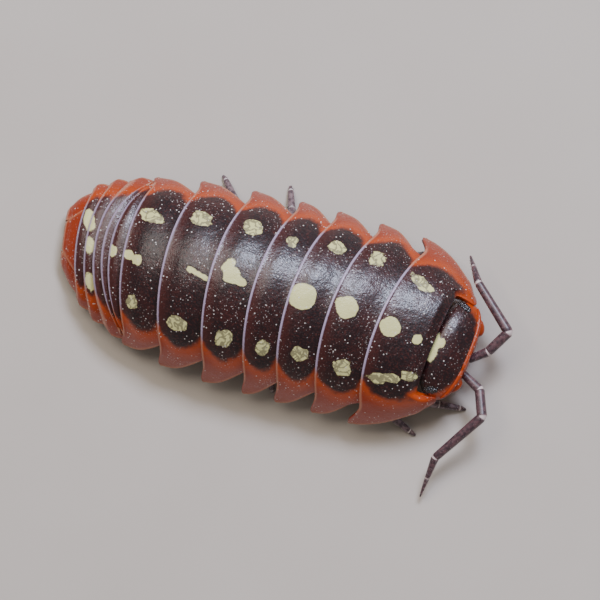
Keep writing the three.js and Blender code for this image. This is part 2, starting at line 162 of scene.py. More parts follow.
@dataclass(frozen=True)
class ShellEnvelope:
    """The outer form that all shell plates lie on: a row of half-ellipse arches along the body."""

    # x, half-width, height of the back, height of the rims, squareness of the arch (1 is an ellipse).
    stations: tuple = (
        (-9.25, 0.95, 0.72, 0.5, 1.0),
        (-8.97, 1.4, 0.98, 0.52, 1.0),
        (-8.44, 2.16, 1.5, 0.56, 1.0),
        (-7.97, 2.6, 1.9, 0.6, 1.0),
        (-7.13, 3.08, 2.5, 0.65, 1.0),
        (-6.13, 3.43, 3.05, 0.7, 1.0),
        (-4.31, 3.86, 3.68, 0.74, 1.0),
        (-2.27, 4.07, 4.06, 0.76, 1.0),
        (-0.39, 4.14, 4.2, 0.76, 1.0),
        (1.11, 4.15, 4.2, 0.76, 1.0),
        (2.84, 4.15, 4.1, 0.76, 1.0),
        (4.84, 4.13, 3.85, 0.78, 1.0),
        (6.2, 3.78, 3.55, 0.84, 0.92),
        (7.3, 3.14, 3.22, 0.95, 0.74),
        (8.1, 2.6, 3.02, 1.08, 0.6),
    )

    def value(self, x: np.ndarray, column: Measure) -> np.ndarray:
        """One envelope size at x, by a Catmull-Rom curve through the stations.

        Args:
            x: places along the body.
            column: which size.
        Returns:
            The size at each x.
        """
        table = np.array(self.stations)
        xs = table[:, 0]
        last = len(xs) - 1
        i = np.clip(np.searchsorted(xs, x, side="right") - 1, 0, last - 1)
        near = [np.clip(i + step, 0, last) for step in (-1, 0, 1, 2)]
        p = [table[k, column] for k in near]
        at = [xs[k] for k in near]
        span = at[2] - at[1]
        t = (x - at[1]) / span
        m1 = (p[2] - p[0]) / (at[2] - at[0]) * span
        m2 = (p[3] - p[1]) / (at[3] - at[1]) * span
        return hermite(t, p[1], m1, p[2], m2)

    def point(self, x: np.ndarray, arch: np.ndarray) -> np.ndarray:
        """Points on the envelope.

        y is the half-width times the sine of the arch angle, raised to the squareness, and z falls from
        the back to the rim with the cosine of that angle.

        Args:
            x: places along the body.
            arch: -1 at the right rim, 0 on the back, 1 at the left rim.
        Returns:
            Array (..., 3).
        """
        x, arch = np.broadcast_arrays(np.asarray(x, float), np.asarray(arch, float))
        angle = arch * ARCH_ANGLE
        width, top, rim, square = (self.value(x, column) for column in Measure)
        share = (np.cos(angle) - np.cos(ARCH_ANGLE)) / (1 - np.cos(ARCH_ANGLE))
        outward = np.abs(np.sin(angle) / np.sin(ARCH_ANGLE)) ** square
        return np.stack([x, np.sign(arch) * width * outward, rim + (top - rim) * share], axis=-1)

    def normal(self, x: np.ndarray, arch: np.ndarray) -> np.ndarray:
        """The envelope's outward normals, from small differences along and across.

        Args:
            x: places along the body.
            arch: arch shares.
        Returns:
            Unit vectors, array (..., 3).
        """
        step = 0.01
        along = self.point(x + step, arch) - self.point(x - step, arch)
        across = self.point(x, arch + step) - self.point(x, arch - step)
        return unit(np.cross(along, across))

    def under(self, x: np.ndarray, arch: np.ndarray, depth: np.ndarray) -> np.ndarray:
        """Points at a depth under the envelope, along its normal."""
        return self.point(x, arch) - self.normal(x, arch) * np.asarray(depth)[..., None]


ENVELOPE = ShellEnvelope()


@dataclass
class Surface:
    """A mesh in the making: points in the model's frame in millimetres, faces and per-vertex values."""

    points: np.ndarray
    faces: np.ndarray
    values: dict[str, np.ndarray] = field(default_factory=dict)

    def joined(self, other: "Surface") -> "Surface":
        """This surface and another as one.

        Args:
            other: the surface to add.
        Returns:
            The two as one, with values that either lacks set to 0.
        """
        shift = len(self.points)
        values = {}
        for name in {*self.values, *other.values}:
            mine = self.values.get(name, np.zeros(shift))
            theirs = other.values.get(name, np.zeros(len(other.points)))
            values[name] = np.concatenate([mine, theirs])
        faces = np.concatenate([quads(self.faces), quads(other.faces) + shift])
        return Surface(np.concatenate([self.points, other.points]), faces, values)


def quads(faces: np.ndarray) -> np.ndarray:
    """Faces as rows of four.

    Args:
        faces: array (n, 3) or (n, 4).
    Returns:
        Array (n, 4), where a triangle repeats its last corner.
    """
    if faces.shape[1] == 4:
        return faces
    return np.concatenate([faces, faces[:, 2:3]], axis=1)


def join_all(surfaces: Sequence[Surface]) -> Surface:
    """Several surfaces as one.

    Args:
        surfaces: at least one.
    Returns:
        All of them, in that order.
    """
    whole = surfaces[0]
    for surface in surfaces[1:]:
        whole = whole.joined(surface)
    return whole


def grid_faces(rows: int, columns: int, wrap_columns: bool = False) -> np.ndarray:
    """Quads over a grid of rows x columns points, numbered row by row.

    Args:
        rows: points in the first direction.
        columns: points in the second direction.
        wrap_columns: whether the last column joins the first.
    Returns:
        Array (faces, 4).
    """
    r = np.arange(rows - 1)
    c = np.arange(columns if wrap_columns else columns - 1)
    r, c = np.meshgrid(r, c, indexing="ij")
    r2, c2 = r + 1, (c + 1) % columns
    corners = [r * columns + c, r * columns + c2, r2 * columns + c2, r2 * columns + c]
    return np.stack(corners, axis=-1).reshape(-1, 4)


def write_mesh(name: str, surface: Surface, nodes: Sequence[str]) -> bpy.types.Object:
    """Writes a surface as a smooth-shaded piece that rides on the body.

    Args:
        name: the piece's name.
        surface: points in millimetres, faces and values.
        nodes: the solid nodes that the piece stands for.
    Returns:
        The new object, at the origin.
    """
    mesh = bpy.data.meshes.new(name)
    corner_lists = quads(surface.faces)
    triangles = corner_lists[:, 2] == corner_lists[:, 3]
    faces = [row[:3] if flat else row for row, flat in zip(corner_lists.tolist(), triangles.tolist())]
    mesh.from_pydata((surface.points * MM).tolist(), [], faces)
    for key, value in surface.values.items():
        layer = mesh.attributes.new(key, "FLOAT", "POINT")
        layer.data.foreach_set("value", np.ascontiguousarray(value, dtype=np.float32))
    mesh.polygons.foreach_set("use_smooth", np.ones(len(mesh.polygons), dtype=bool))
    mesh.update()
    piece = bpy.data.objects.new(name, mesh)
    bpy.context.scene.collection.objects.link(piece)
    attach(piece, BODY)
    if nodes:
        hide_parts(*nodes)
    log.info("%s: %d vertices, %d faces", name, len(mesh.vertices), len(mesh.polygons))
    return piece


def dress(piece: bpy.types.Object, finish: bpy.types.Material) -> None:
    """Gives a piece its one material."""
    piece.data.materials.append(finish)


def capped_rings(rings: np.ndarray, poles: Optional[np.ndarray] = None) -> Surface:
    """Rings of points joined in a row, with a fan of triangles to a pole at each end.

    Args:
        rings: array (count, around, 3).
        poles: array (2, 3), or None for the middles of the first and the last ring.
    Returns:
        A closed surface: the rings' points in order, then the two poles.
    """
    count, around = rings.shape[:2]
    if poles is None:
        poles = rings[[0, -1]].mean(axis=1)
    k = np.arange(around)
    ahead = (k + 1) % around
    first_pole = np.full(around, count * around)
    last_pole = first_pole + 1
    last_ring = (count - 1) * around
    low = np.stack([ahead, k, first_pole, first_pole], axis=1)
    high = np.stack([last_ring + k, last_ring + ahead, last_pole, last_pole], axis=1)
    body = grid_faces(count, around, wrap_columns=True)
    return Surface(np.concatenate([rings.reshape(-1, 3), poles]), np.concatenate([body, low, high]))


def closed_tube(
    path: np.ndarray, radii: np.ndarray, sides: int, up: np.ndarray, flatten: float = 1.0
) -> Surface:
    """A tube of round or oval rings along a path, closed by a pole at each end.

    Each ring is a circle in the plane square to the path, whose second axis is shortened by flatten.

    Args:
        path: array (n, 3) of centres.
        radii: array (n) of radii.
        sides: points round each ring.
        up: a direction that is never along the path.
        flatten: the share of the radius kept along up.
    Returns:
        The tube, right side out.
    """
    ahead = unit(np.gradient(path, axis=0))
    side = unit(np.cross(ahead, np.broadcast_to(up, ahead.shape)))
    top = flatten * np.cross(side, ahead)
    turn = np.linspace(0, 2 * np.pi, sides, endpoint=False)[None, :, None]
    ring = side[:, None, :] * np.cos(turn) + top[:, None, :] * np.sin(turn)
    points = path[:, None, :] + ring * radii[:, None, None]
    return outward(capped_rings(points, path[[0, -1]]))


def outward(surface: Surface) -> Surface:
    """Turns a closed surface right side out, by the sign of its volume.

    Args:
        surface: a closed surface whose faces all turn the same way.
    Returns:
        The surface, with its faces turned over if its volume was negative.
    """
    corner = surface.points[quads(surface.faces)]
    first = np.einsum("ij,ij->i", corner[:, 0], np.cross(corner[:, 1], corner[:, 2]))
    second = np.einsum("ij,ij->i", corner[:, 0], np.cross(corner[:, 2], corner[:, 3]))
    if first.sum() + second.sum() > 0:
        return surface
    faces = quads(surface.faces)
    flipped = np.where((faces[:, 2] == faces[:, 3])[:, None], faces[:, [1, 0, 2, 2]], faces[:, ::-1])
    return Surface(surface.points, flipped, surface.values)


def spline(points: np.ndarray, count: int) -> np.ndarray:
    """A Catmull-Rom curve through points, sampled evenly in parameter.

    Args:
        points: array (n, k) of knots.
        count: samples along the whole curve.
    Returns:
        Array (count, k).
    """
    knots = np.asarray(points, float)
    last = len(knots) - 1
    u = np.linspace(0, last, count)
    i = np.clip(u.astype(int), 0, last - 1)
    t = (u - i)[:, None]
    p0, p1 = knots[np.clip(i - 1, 0, last)], knots[i]
    p2, p3 = knots[i + 1], knots[np.clip(i + 2, 0, last)]
    m1, m2 = (p2 - p0) / 2, (p3 - p1) / 2
    return hermite(t, p1, m1, p2, m2)


# Finishes.


def linear(colour: str) -> tuple:
    """An sRGB hex colour turned to linear.

    Args:
        colour: a hash sign and six hex digits.
    Returns:
        Red, green, blue and alpha.
    """
    channels = np.array([int(colour[k : k + 2], 16) / 255 for k in (1, 3, 5)])
    value = np.where(channels <= 0.04045, channels / 12.92, ((channels + 0.055) / 1.055) ** 2.4)
    return (*value.tolist(), 1.0)


def add_node(
    tree: bpy.types.NodeTree, kind: str, settings: Optional[dict] = None, links: Optional[dict] = None
) -> bpy.types.Node:
    """Adds one node with its settings and links.

    Args:
        tree: the material's node tree.
        kind: the node's type name.
        settings: properties by name, and socket values by socket name or number, or None.
        links: output sockets to link, by input socket name or number, or None.
    Returns:
        The new node.
    """
    node = tree.nodes.new(kind)
    for key, value in (settings or {}).items():
        if isinstance(key, str) and hasattr(node, key):
            setattr(node, key, value)
        else:
            node.inputs[key].default_value = value
    for key, source in (links or {}).items():
        tree.links.new(source, node.inputs[key])
    return node


Socket = bpy.types.NodeSocket


@dataclass
class Recipe:
    """A material's node tree, with short ways to add the steps that these finishes share."""

    tree: bpy.types.NodeTree

    def value(self, name: str) -> Socket:
        """A per-vertex value of the piece."""
        return add_node(self.tree, "ShaderNodeAttribute", {"attribute_name": name}).outputs["Fac"]

    def place(self) -> Socket:
        """The Object coordinates, in metres."""
        return add_node(self.tree, "ShaderNodeTexCoord").outputs["Object"]

    def noise(self, grain_mm: float, detail: float = 2.0, rough: float = 0.5, warp: float = 0.0) -> Socket:
        """Soft noise whose lumps are about grain_mm across, between 0 and 1."""
        settings = {"Scale": 1.0 / (grain_mm * MM), "Detail": detail, "Roughness": rough, "Distortion": warp}
        return add_node(self.tree, "ShaderNodeTexNoise", settings, {"Vector": self.place()}).outputs["Fac"]

    def swing(self, noise: Socket, amount: float) -> Socket:
        """A noise moved to lie either side of 0, times an amount."""
        return self.math("MULTIPLY", self.math("SUBTRACT", noise, 0.5), amount)

    def cells(self, cell_mm: float) -> Socket:
        """Distance to the nearest of scattered points.

        Args:
            cell_mm: about how far apart they lie.
        Returns:
            The distance, in units of cell_mm.
        """
        settings = {"feature": "F1", "Scale": 1.0 / (cell_mm * MM)}
        node = add_node(self.tree, "ShaderNodeTexVoronoi", settings, {"Vector": self.place()})
        return node.outputs["Distance"]

    def ramp(self, source: Socket, low: float, high: float, start: float = 0.0, end: float = 1.0) -> Socket:
        """Maps source from low..high to start..end with a smooth step, clamped."""
        settings = {"interpolation_type": "SMOOTHSTEP", 1: low, 2: high, 3: start, 4: end}
        return add_node(self.tree, "ShaderNodeMapRange", settings, {0: source}).outputs[0]

    def math(self, operation: str, a: Socket, b: Union[Socket, float]) -> Socket:
        """A Math node.

        Args:
            operation: the node's operation.
            a: its first input.
            b: its second input, a socket or a number.
        Returns:
            The result.
        """
        if isinstance(b, float):
            return add_node(self.tree, "ShaderNodeMath", {"operation": operation, 1: b}, {0: a}).outputs[0]
        return add_node(self.tree, "ShaderNodeMath", {"operation": operation}, {0: a, 1: b}).outputs[0]

    def mix(self, share: Socket, under: Union[Socket, str], over: Union[Socket, str]) -> Socket:
        """One colour covered by another.

        Args:
            share: 0 shows only under, 1 only over.
            under: a hex colour or a socket.
            over: a hex colour or a socket.
        Returns:
            The mixed colour.
        """
        settings = {"data_type": "RGBA"}
        links = {0: share}
        for index, colour in ((6, under), (7, over)):
            if isinstance(colour, str):
                settings[index] = linear(colour)
            else:
                links[index] = colour
        return add_node(self.tree, "ShaderNodeMix", settings, links).outputs[2]

    def bump(
        self, height: Socket, depth_mm: float, strength: float, under: Optional[Socket] = None
    ) -> Socket:
        """A bump.

        Args:
            height: the relief, from 0 to 1.
            depth_mm: its depth.
            strength: how much of it applies.
            under: another bump's normal that it lies on, or None.
        Returns:
            The normal.
        """
        links = {"Height": height}
        if under is not None:
            links["Normal"] = under
        settings = {"Strength": strength, "Distance": depth_mm * MM}
        return add_node(self.tree, "ShaderNodeBump", settings, links).outputs["Normal"]


def new_finish(
    name: str, build: Callable[[Recipe, bpy.types.Node], None], **surface: float
) -> bpy.types.Material:
    """A new material with one Principled surface.

    Args:
        name: the finish's name.
        build: links the recipe's steps to the Principled node.
        surface: constant sockets, with spaces in their names written as underscores.
    Returns:
        The material.
    """
    finish = bpy.data.materials.new(name)
    finish.use_nodes = True
    tree = finish.node_tree
    tree.nodes.clear()
    shader = tree.nodes.new("ShaderNodeBsdfPrincipled")
    for key, value in surface.items():
        shader.inputs[key.replace("_", " ")].default_value = value
    target = tree.nodes.new("ShaderNodeOutputMaterial")
    tree.links.new(shader.outputs["BSDF"], target.inputs["Surface"])
    build(Recipe(tree), shader)
    return finish


@dataclass(frozen=True)
class ShellFinish:
    """Living crustacean shell: hard chitin with a thin waxy gloss over pigment, finely granular all over.

    Dark back, terracotta rims, cream spots and a pale clear edge along the rear of each plate. Sizes of the
    patterns are in millimetres.
    """

    back: str = "#200f13"
    back_brown: str = "#4a1c18"
    granule: str = "#5a2a25"
    rim: str = "#9a3004"
    rim_bright: str = "#b54306"
    rim_edge: str = "#c27a55"
    # The cream of the spots, which also paints the highlight on the seventh back plate.
    spot: str = "#e2dd98"
    spot_shade: str = "#7a7258"
    rim_lip: str = "#cb8f72"
    clear_edge: str = "#b5a3bd"
    dust: str = "#e9e2da"
    grain_mm: float = 0.07
    grain_depth: float = 0.012
    dimple_mm: float = 0.4
    dimple_depth: float = 0.035
    cloud_mm: float = 1.1
    wander_mm: float = 0.55
    ragged_mm: float = 0.13
    worm_mm: float = 0.26
    edge_line: float = 0.12
    pale_margin: float = 0.2
    dust_mm: float = 0.21
    fine_dust_mm: float = 0.11

    def make(self) -> bpy.types.Material:
        """Builds the material."""
        return new_finish(
            "chitin_shell_spotted",
            self.build,
            IOR=1.56,
            Specular_IOR_Level=0.4,
            Coat_Weight=0.3,
            Coat_Roughness=0.2,
            Coat_IOR=1.5,
        )

    def build(self, r: Recipe, shader: bpy.types.Node) -> None:
        """Layers the colours from the pigment up, then sets the gloss and the grain.

        Args:
            r: the material's recipe.
            shader: its Principled node.
        """
        wander = r.swing(r.noise(self.wander_mm, 3.0, 0.55), 0.5)
        ragged = r.swing(r.noise(self.ragged_mm, 2.0, 0.6), 0.16)
        cloud = r.ramp(r.noise(self.cloud_mm, 3.0, 0.6), 0.42, 0.72)
        colour = self.rimmed(r, self.dark_back(r, cloud), wander, ragged)
        colour = self.spotted(r, colour, ragged)
        colour = self.edged(r, colour, ragged)
        dust = self.dusting(r, cloud)
        colour = r.mix(r.math("MULTIPLY", dust, 0.8), colour, self.dust)
        r.tree.links.new(colour, shader.inputs["Base Color"])
        gloss = r.ramp(r.noise(self.grain_mm, 1.0), 0.3, 0.7, 0.3, 0.5)
        rough = r.math("ADD", gloss, r.math("MULTIPLY", dust, 0.3))
        r.tree.links.new(rough, shader.inputs["Roughness"])
        grain = r.bump(r.noise(self.grain_mm, 1.0, 0.5), self.grain_depth, 0.7)
        relief = r.bump(r.noise(self.dimple_mm, 3.0, 0.6), self.dimple_depth, 0.8, grain)
        r.tree.links.new(relief, shader.inputs["Normal"])
        r.tree.links.new(relief, shader.inputs["Coat Normal"])

    def dark_back(self, r: Recipe, cloud: Socket) -> Socket:
        """Near-black, redder brown towards each rear edge and in soft clouds, with brown granules.

        Args:
            r: the material's recipe.
            cloud: where the clouds lie.
        Returns:
            The back's colour.
        """
        rearward = r.ramp(r.value("rear"), 0.75, 0.1, 0.0, 0.75)
        brown = r.math("MAXIMUM", rearward, r.math("MULTIPLY", cloud, 0.45))
        back = r.mix(brown, self.back, self.back_brown)
        granules = r.ramp(r.noise(self.grain_mm * 1.3, 2.0, 0.7), 0.5, 0.68, 0.0, 0.55)
        return r.mix(granules, back, self.granule)

    def rimmed(self, r: Recipe, back: Socket, wander: Socket, ragged: Socket) -> Socket:
        """Terracotta towards the rims, brighter next to the dark back and paler at the very edge.

        Args:
            r: the material's recipe.
            back: the back's colour.
            wander: slow swings of the colour border.
            ragged: fine swings of it.
        Returns:
            The shell's colour with its rims.
        """
        border = r.math("ADD", r.math("ADD", r.value("border"), wander), ragged)
        orange = r.mix(r.ramp(border, -0.9, -0.1), self.rim, self.rim_bright)
        body = r.mix(r.ramp(border, -0.16, 0.2), orange, back)
        return r.mix(r.ramp(r.value("margin"), self.pale_margin, 0.0, 0.0, 0.7), body, self.rim_edge)

    def spotted(self, r: Recipe, body: Socket, ragged: Socket) -> Socket:
        """Cream spots, one of them mostly a painted highlight: smooth in the middle row, worm-marked with
        grey brown in the side rows.

        Args:
            r: the material's recipe.
            body: the colour under them.
            ragged: fine swings of their edges.
        Returns:
            The colour with its spots.
        """
        marbled = r.value("marbled")
        nibble = r.math("SUBTRACT", r.noise(0.3, 2.0, 0.5), 0.5)
        nibble = r.math("MULTIPLY", nibble, r.ramp(marbled, 0.0, 1.0, 0.14, 0.3))
        edge = r.math("ADD", r.math("ADD", r.value("spot"), nibble), r.math("MULTIPLY", ragged, 0.35))
        path = r.math("SUBTRACT", r.noise(self.worm_mm, 1.0, 0.4, 0.5), 0.5)
        worm = r.ramp(r.math("ABSOLUTE", path, 0.0), 0.04, 0.11, 1.0, 0.0)
        shade = r.math("MULTIPLY", r.math("MULTIPLY", worm, marbled), 0.8)
        cream = r.mix(shade, self.spot, self.spot_shade)
        return r.mix(r.ramp(edge, 0.02, -0.02), body, cream)

    def edged(self, r: Recipe, body: Socket, ragged: Socket) -> Socket:
        """The clear rear edge: a thin line, lavender over the back and pale orange on the rims.

        Args:
            r: the material's recipe.
            body: the colour under it.
            ragged: fine swings of its width.
        Returns:
            The colour with its edge line.
        """
        border = r.value("border")
        rear = r.math("ADD", r.value("rear"), r.math("MULTIPLY", ragged, 0.2))
        line = r.ramp(rear, self.edge_line, 0.055, 0.0, 0.95)
        line = r.math("MULTIPLY", line, r.ramp(border, -0.35, 0.5, 0.6, 1.0))
        line = r.math("MULTIPLY", line, r.value("seam"))
        lip = r.mix(r.ramp(border, -0.2, 0.3), self.rim_lip, self.clear_edge)
        return r.mix(line, body, lip)

    def dusting(self, r: Recipe, cloud: Socket) -> Socket:
        """White dust: sparse coarse grains, and finer ones in the clouds.

        Args:
            r: the material's recipe.
            cloud: where the clouds lie.
        Returns:
            How much dust covers each place.
        """
        coarse = r.ramp(r.cells(self.dust_mm), 0.17, 0.12)
        sparse = r.ramp(r.noise(0.6, 2.0, 0.7), 0.44, 0.54)
        fine = r.ramp(r.cells(self.fine_dust_mm), 0.24, 0.16, 0.0, 0.7)
        return r.math("MAXIMUM", r.math("MULTIPLY", coarse, sparse), r.math("MULTIPLY", fine, cloud))


@dataclass(frozen=True)
class HornFinish:
    """Thin jointed horn of the feelers and legs: brown-violet cuticle, pale and soft at each joint."""

    name: str = "cuticle_feeler"
    colour: str = "#6a4a4e"
    dark: str = "#3f2b33"
    joint: str = "#d9c6c2"
    mottle_mm: float = 0.16
    grain_mm: float = 0.07
    grain_depth: float = 0.01

    def make(self) -> bpy.types.Material:
        """Builds the material."""
        gloss = {"Roughness": 0.42, "Coat_Weight": 0.3, "Coat_Roughness": 0.3}
        return new_finish(self.name, self.build, IOR=1.54, **gloss)

    def build(self, r: Recipe, shader: bpy.types.Node) -> None:
        """Mottled brown with pale rings where the joint value is high.

        Args:
            r: the material's recipe.
            shader: its Principled node.
        """
        mottle = r.ramp(r.noise(self.mottle_mm, 3.0, 0.6), 0.38, 0.66)
        colour = r.mix(mottle, self.dark, self.colour)
        colour = r.mix(r.ramp(r.value("joint"), 0.45, 0.85), colour, self.joint)
        r.tree.links.new(colour, shader.inputs["Base Color"])
        grain = r.bump(r.noise(self.grain_mm, 2.0, 0.6), self.grain_depth, 0.5)
        r.tree.links.new(grain, shader.inputs["Normal"])


@dataclass(frozen=True)
class EyeFinish:
    """Compound eye: domed black lenses with a hard wet gloss."""

    colour: str = "#08080b"
    seam: str = "#4b4852"
    haze_mm: float = 0.1

    def make(self) -> bpy.types.Material:
        """Builds the material."""
        return new_finish("lens_black", self.build, IOR=1.55, Coat_Weight=0.8, Coat_Roughness=0.08)

    def build(self, r: Recipe, shader: bpy.types.Node) -> None:
        """Black, greyer between the lenses, with an uneven gloss.

        Args:
            r: the material's recipe.
            shader: its Principled node.
        """
        colour = r.mix(r.ramp(r.value("lens"), 0.0, 0.35), self.seam, self.colour)
        r.tree.links.new(colour, shader.inputs["Base Color"])
        gloss = r.ramp(r.noise(self.haze_mm, 1.0), 0.3, 0.7, 0.16, 0.28)
        r.tree.links.new(gloss, shader.inputs["Roughness"])


@dataclass(frozen=True)
class FleshFinish:
    """Soft underside skin: thin pale cuticle over flesh, faintly wet, with cross folds."""

    name: str = "underside_skin"
    colour: str = "#b59a8c"
    # Darker tone of the clouds, and the painted shade in the folds between the body rings.
    shade: str = "#6d5450"
    cloud_mm: float = 0.5
    crease_mm: float = 0.12
    crease_depth: float = 0.03
    scatter: tuple = (1.0, 0.45, 0.3)

    def make(self) -> bpy.types.Material:
        """Builds the material."""
        return new_finish(
            self.name, self.build, Roughness=0.48, IOR=1.42, Subsurface_Weight=0.15, Subsurface_Scale=0.0004
        )

    def build(self, r: Recipe, shader: bpy.types.Node) -> None:
        """Clouded skin, with painted shade in the folds between the body rings, and fine creases.

        Args:
            r: the material's recipe.
            shader: its Principled node.
        """
        shader.inputs["Subsurface Radius"].default_value = self.scatter
        cloud = r.ramp(r.noise(self.cloud_mm, 4.0, 0.6), 0.35, 0.7)
        skin = r.mix(r.math("MULTIPLY", cloud, 0.6), self.colour, self.shade)
        # Painted shade: the skin is darkened in the folds between the body rings.
        skin = r.mix(r.ramp(r.value("fold"), 0.25, 0.75), skin, self.shade)
        r.tree.links.new(skin, shader.inputs["Base Color"])
        crease = r.bump(r.noise(self.crease_mm, 3.0, 0.6, 0.6), self.crease_depth, 0.5)
        r.tree.links.new(crease, shader.inputs["Normal"])


@dataclass(frozen=True)
class Finishes:
    """Every finish of the animal, made once."""

    shell: bpy.types.Material
    eye: bpy.types.Material
    feeler: bpy.types.Material
    leg: bpy.types.Material
    skin: bpy.types.Material
    gills: bpy.types.Material

    @staticmethod
    def make() -> "Finishes":
        """Makes them all."""
        return Finishes(
            shell=ShellFinish().make(),
            eye=EyeFinish().make(),
            feeler=HornFinish().make(),
            leg=HornFinish("cuticle_leg", "#8b7274", "#4d3a40", "#d8cac6").make(),
            skin=FleshFinish().make(),
            gills=FleshFinish("gill_cover_skin", "#cdb9ac", "#8d7468").make(),
        )


# The shell.


@dataclass(frozen=True)
class Spot:
    """One cream spot as an oval on the shell; one of them is mostly a painted highlight.

    x and across are its centre, along the body and along the arch from the midline. length and width
    are its half sizes before it is turned by turn degrees, and marbled spots carry worm marks.
    """

    x: float
    across: float
    length: float
    width: float
    turn: float = 0.0
    marbled: bool = False

    def distance(self, x: np.ndarray, across: np.ndarray) -> np.ndarray:
        """Signed distance: the scaled radius of a rounded oval less 1, times the smaller half size.

        Args:
            x: places along the body.
            across: places along the arch from the midline, in millimetres.
        Returns:
            Millimetres from the spot's edge, below 0 inside.
        """
        angle = np.radians(self.turn)
        dx, ds = x - self.x, across - self.across
        u = (dx * np.cos(angle) + ds * np.sin(angle)) / self.length
        v = (ds * np.cos(angle) - dx * np.sin(angle)) / self.width
        radius = (np.abs(u) ** 2.5 + np.abs(v) ** 2.5) ** 0.4
        return (radius - 1) * min(self.length, self.width)


# The three rows of cream spots, from the head back, then those of the tail. One of the middle row, on the
# seventh back plate, is mostly a painted highlight.
SPOTS_AND_PAINTED_HIGHLIGHT = (
    Spot(5.82, 2.24, 0.5, 0.24, -28, True),
    Spot(3.82, 2.75, 0.28, 0.42, 10, True),
    Spot(2.17, 2.76, 0.34, 0.34, -30, True),
    Spot(0.46, 2.42, 0.2, 0.26, 0, True),
    Spot(-1.21, 2.63, 0.38, 0.38, 0, True),
    Spot(-3.27, 2.37, 0.44, 0.36, 0, True),
    Spot(-5.34, 1.85, 0.46, 0.32, 0, True),
    Spot(5.42, 0.0, 0.4, 0.4, 35),
    Spot(6.57, -0.06, 0.19, 0.21),
    Spot(3.52, 0.2, 0.42, 0.46, 30),
    Spot(3.3, 0.34, 0.3, 0.22, 0),
    Spot(1.69, 0.11, 0.52, 0.54),
    Spot(-1.36, 0.24, 0.34, 0.36, 0),
    Spot(-1.6, 0.6, 0.2, 0.36, -25),
    Spot(-0.92, 0.06, 0.2, 0.18),
    Spot(-3.1, 0.03, 0.18, 0.12, -10),
    Spot(-2.65, -0.1, 0.38, 0.1, -14),
    # Mostly a painted highlight: the white patch of reflected light next to the round spot that follows,
    # drawn in the spot's cream.
    Spot(-5.86, -0.06, 0.2, 0.2, 10),
    Spot(-5.46, -0.17, 0.2, 0.22),
    Spot(5.6, -2.2, 0.42, 0.2, 8, True),
    Spot(6.2, -1.98, 0.36, 0.18, 14, True),
    Spot(6.78, -1.62, 0.3, 0.22, 30, True),
    Spot(4.12, -2.35, 0.36, 0.42, 20, True),
    Spot(2.24, -2.33, 0.36, 0.33, 0, True),
    Spot(0.61, -2.48, 0.28, 0.34, 0, True),
    Spot(-1.09, -2.52, 0.36, 0.42, 0, True),
    Spot(-3.24, -2.37, 0.44, 0.34, -8, True),
    Spot(-5.42, -1.91, 0.24, 0.3, 20, True),
    Spot(-7.98, 0.85, 0.26, 0.48, 12),
    Spot(-7.78, -0.15, 0.14, 0.34, 6),
    Spot(-6.6, -0.15, 0.16, 0.24, 0),
    Spot(-7.54, -1.68, 0.16, 0.36, 20),
)


# The bead along each plate's rear edge: its height, its distance from the edge and its half-width.
LIP_HEIGHT = 0.02
LIP_PLACE = 0.07
LIP_WIDTH = 0.05


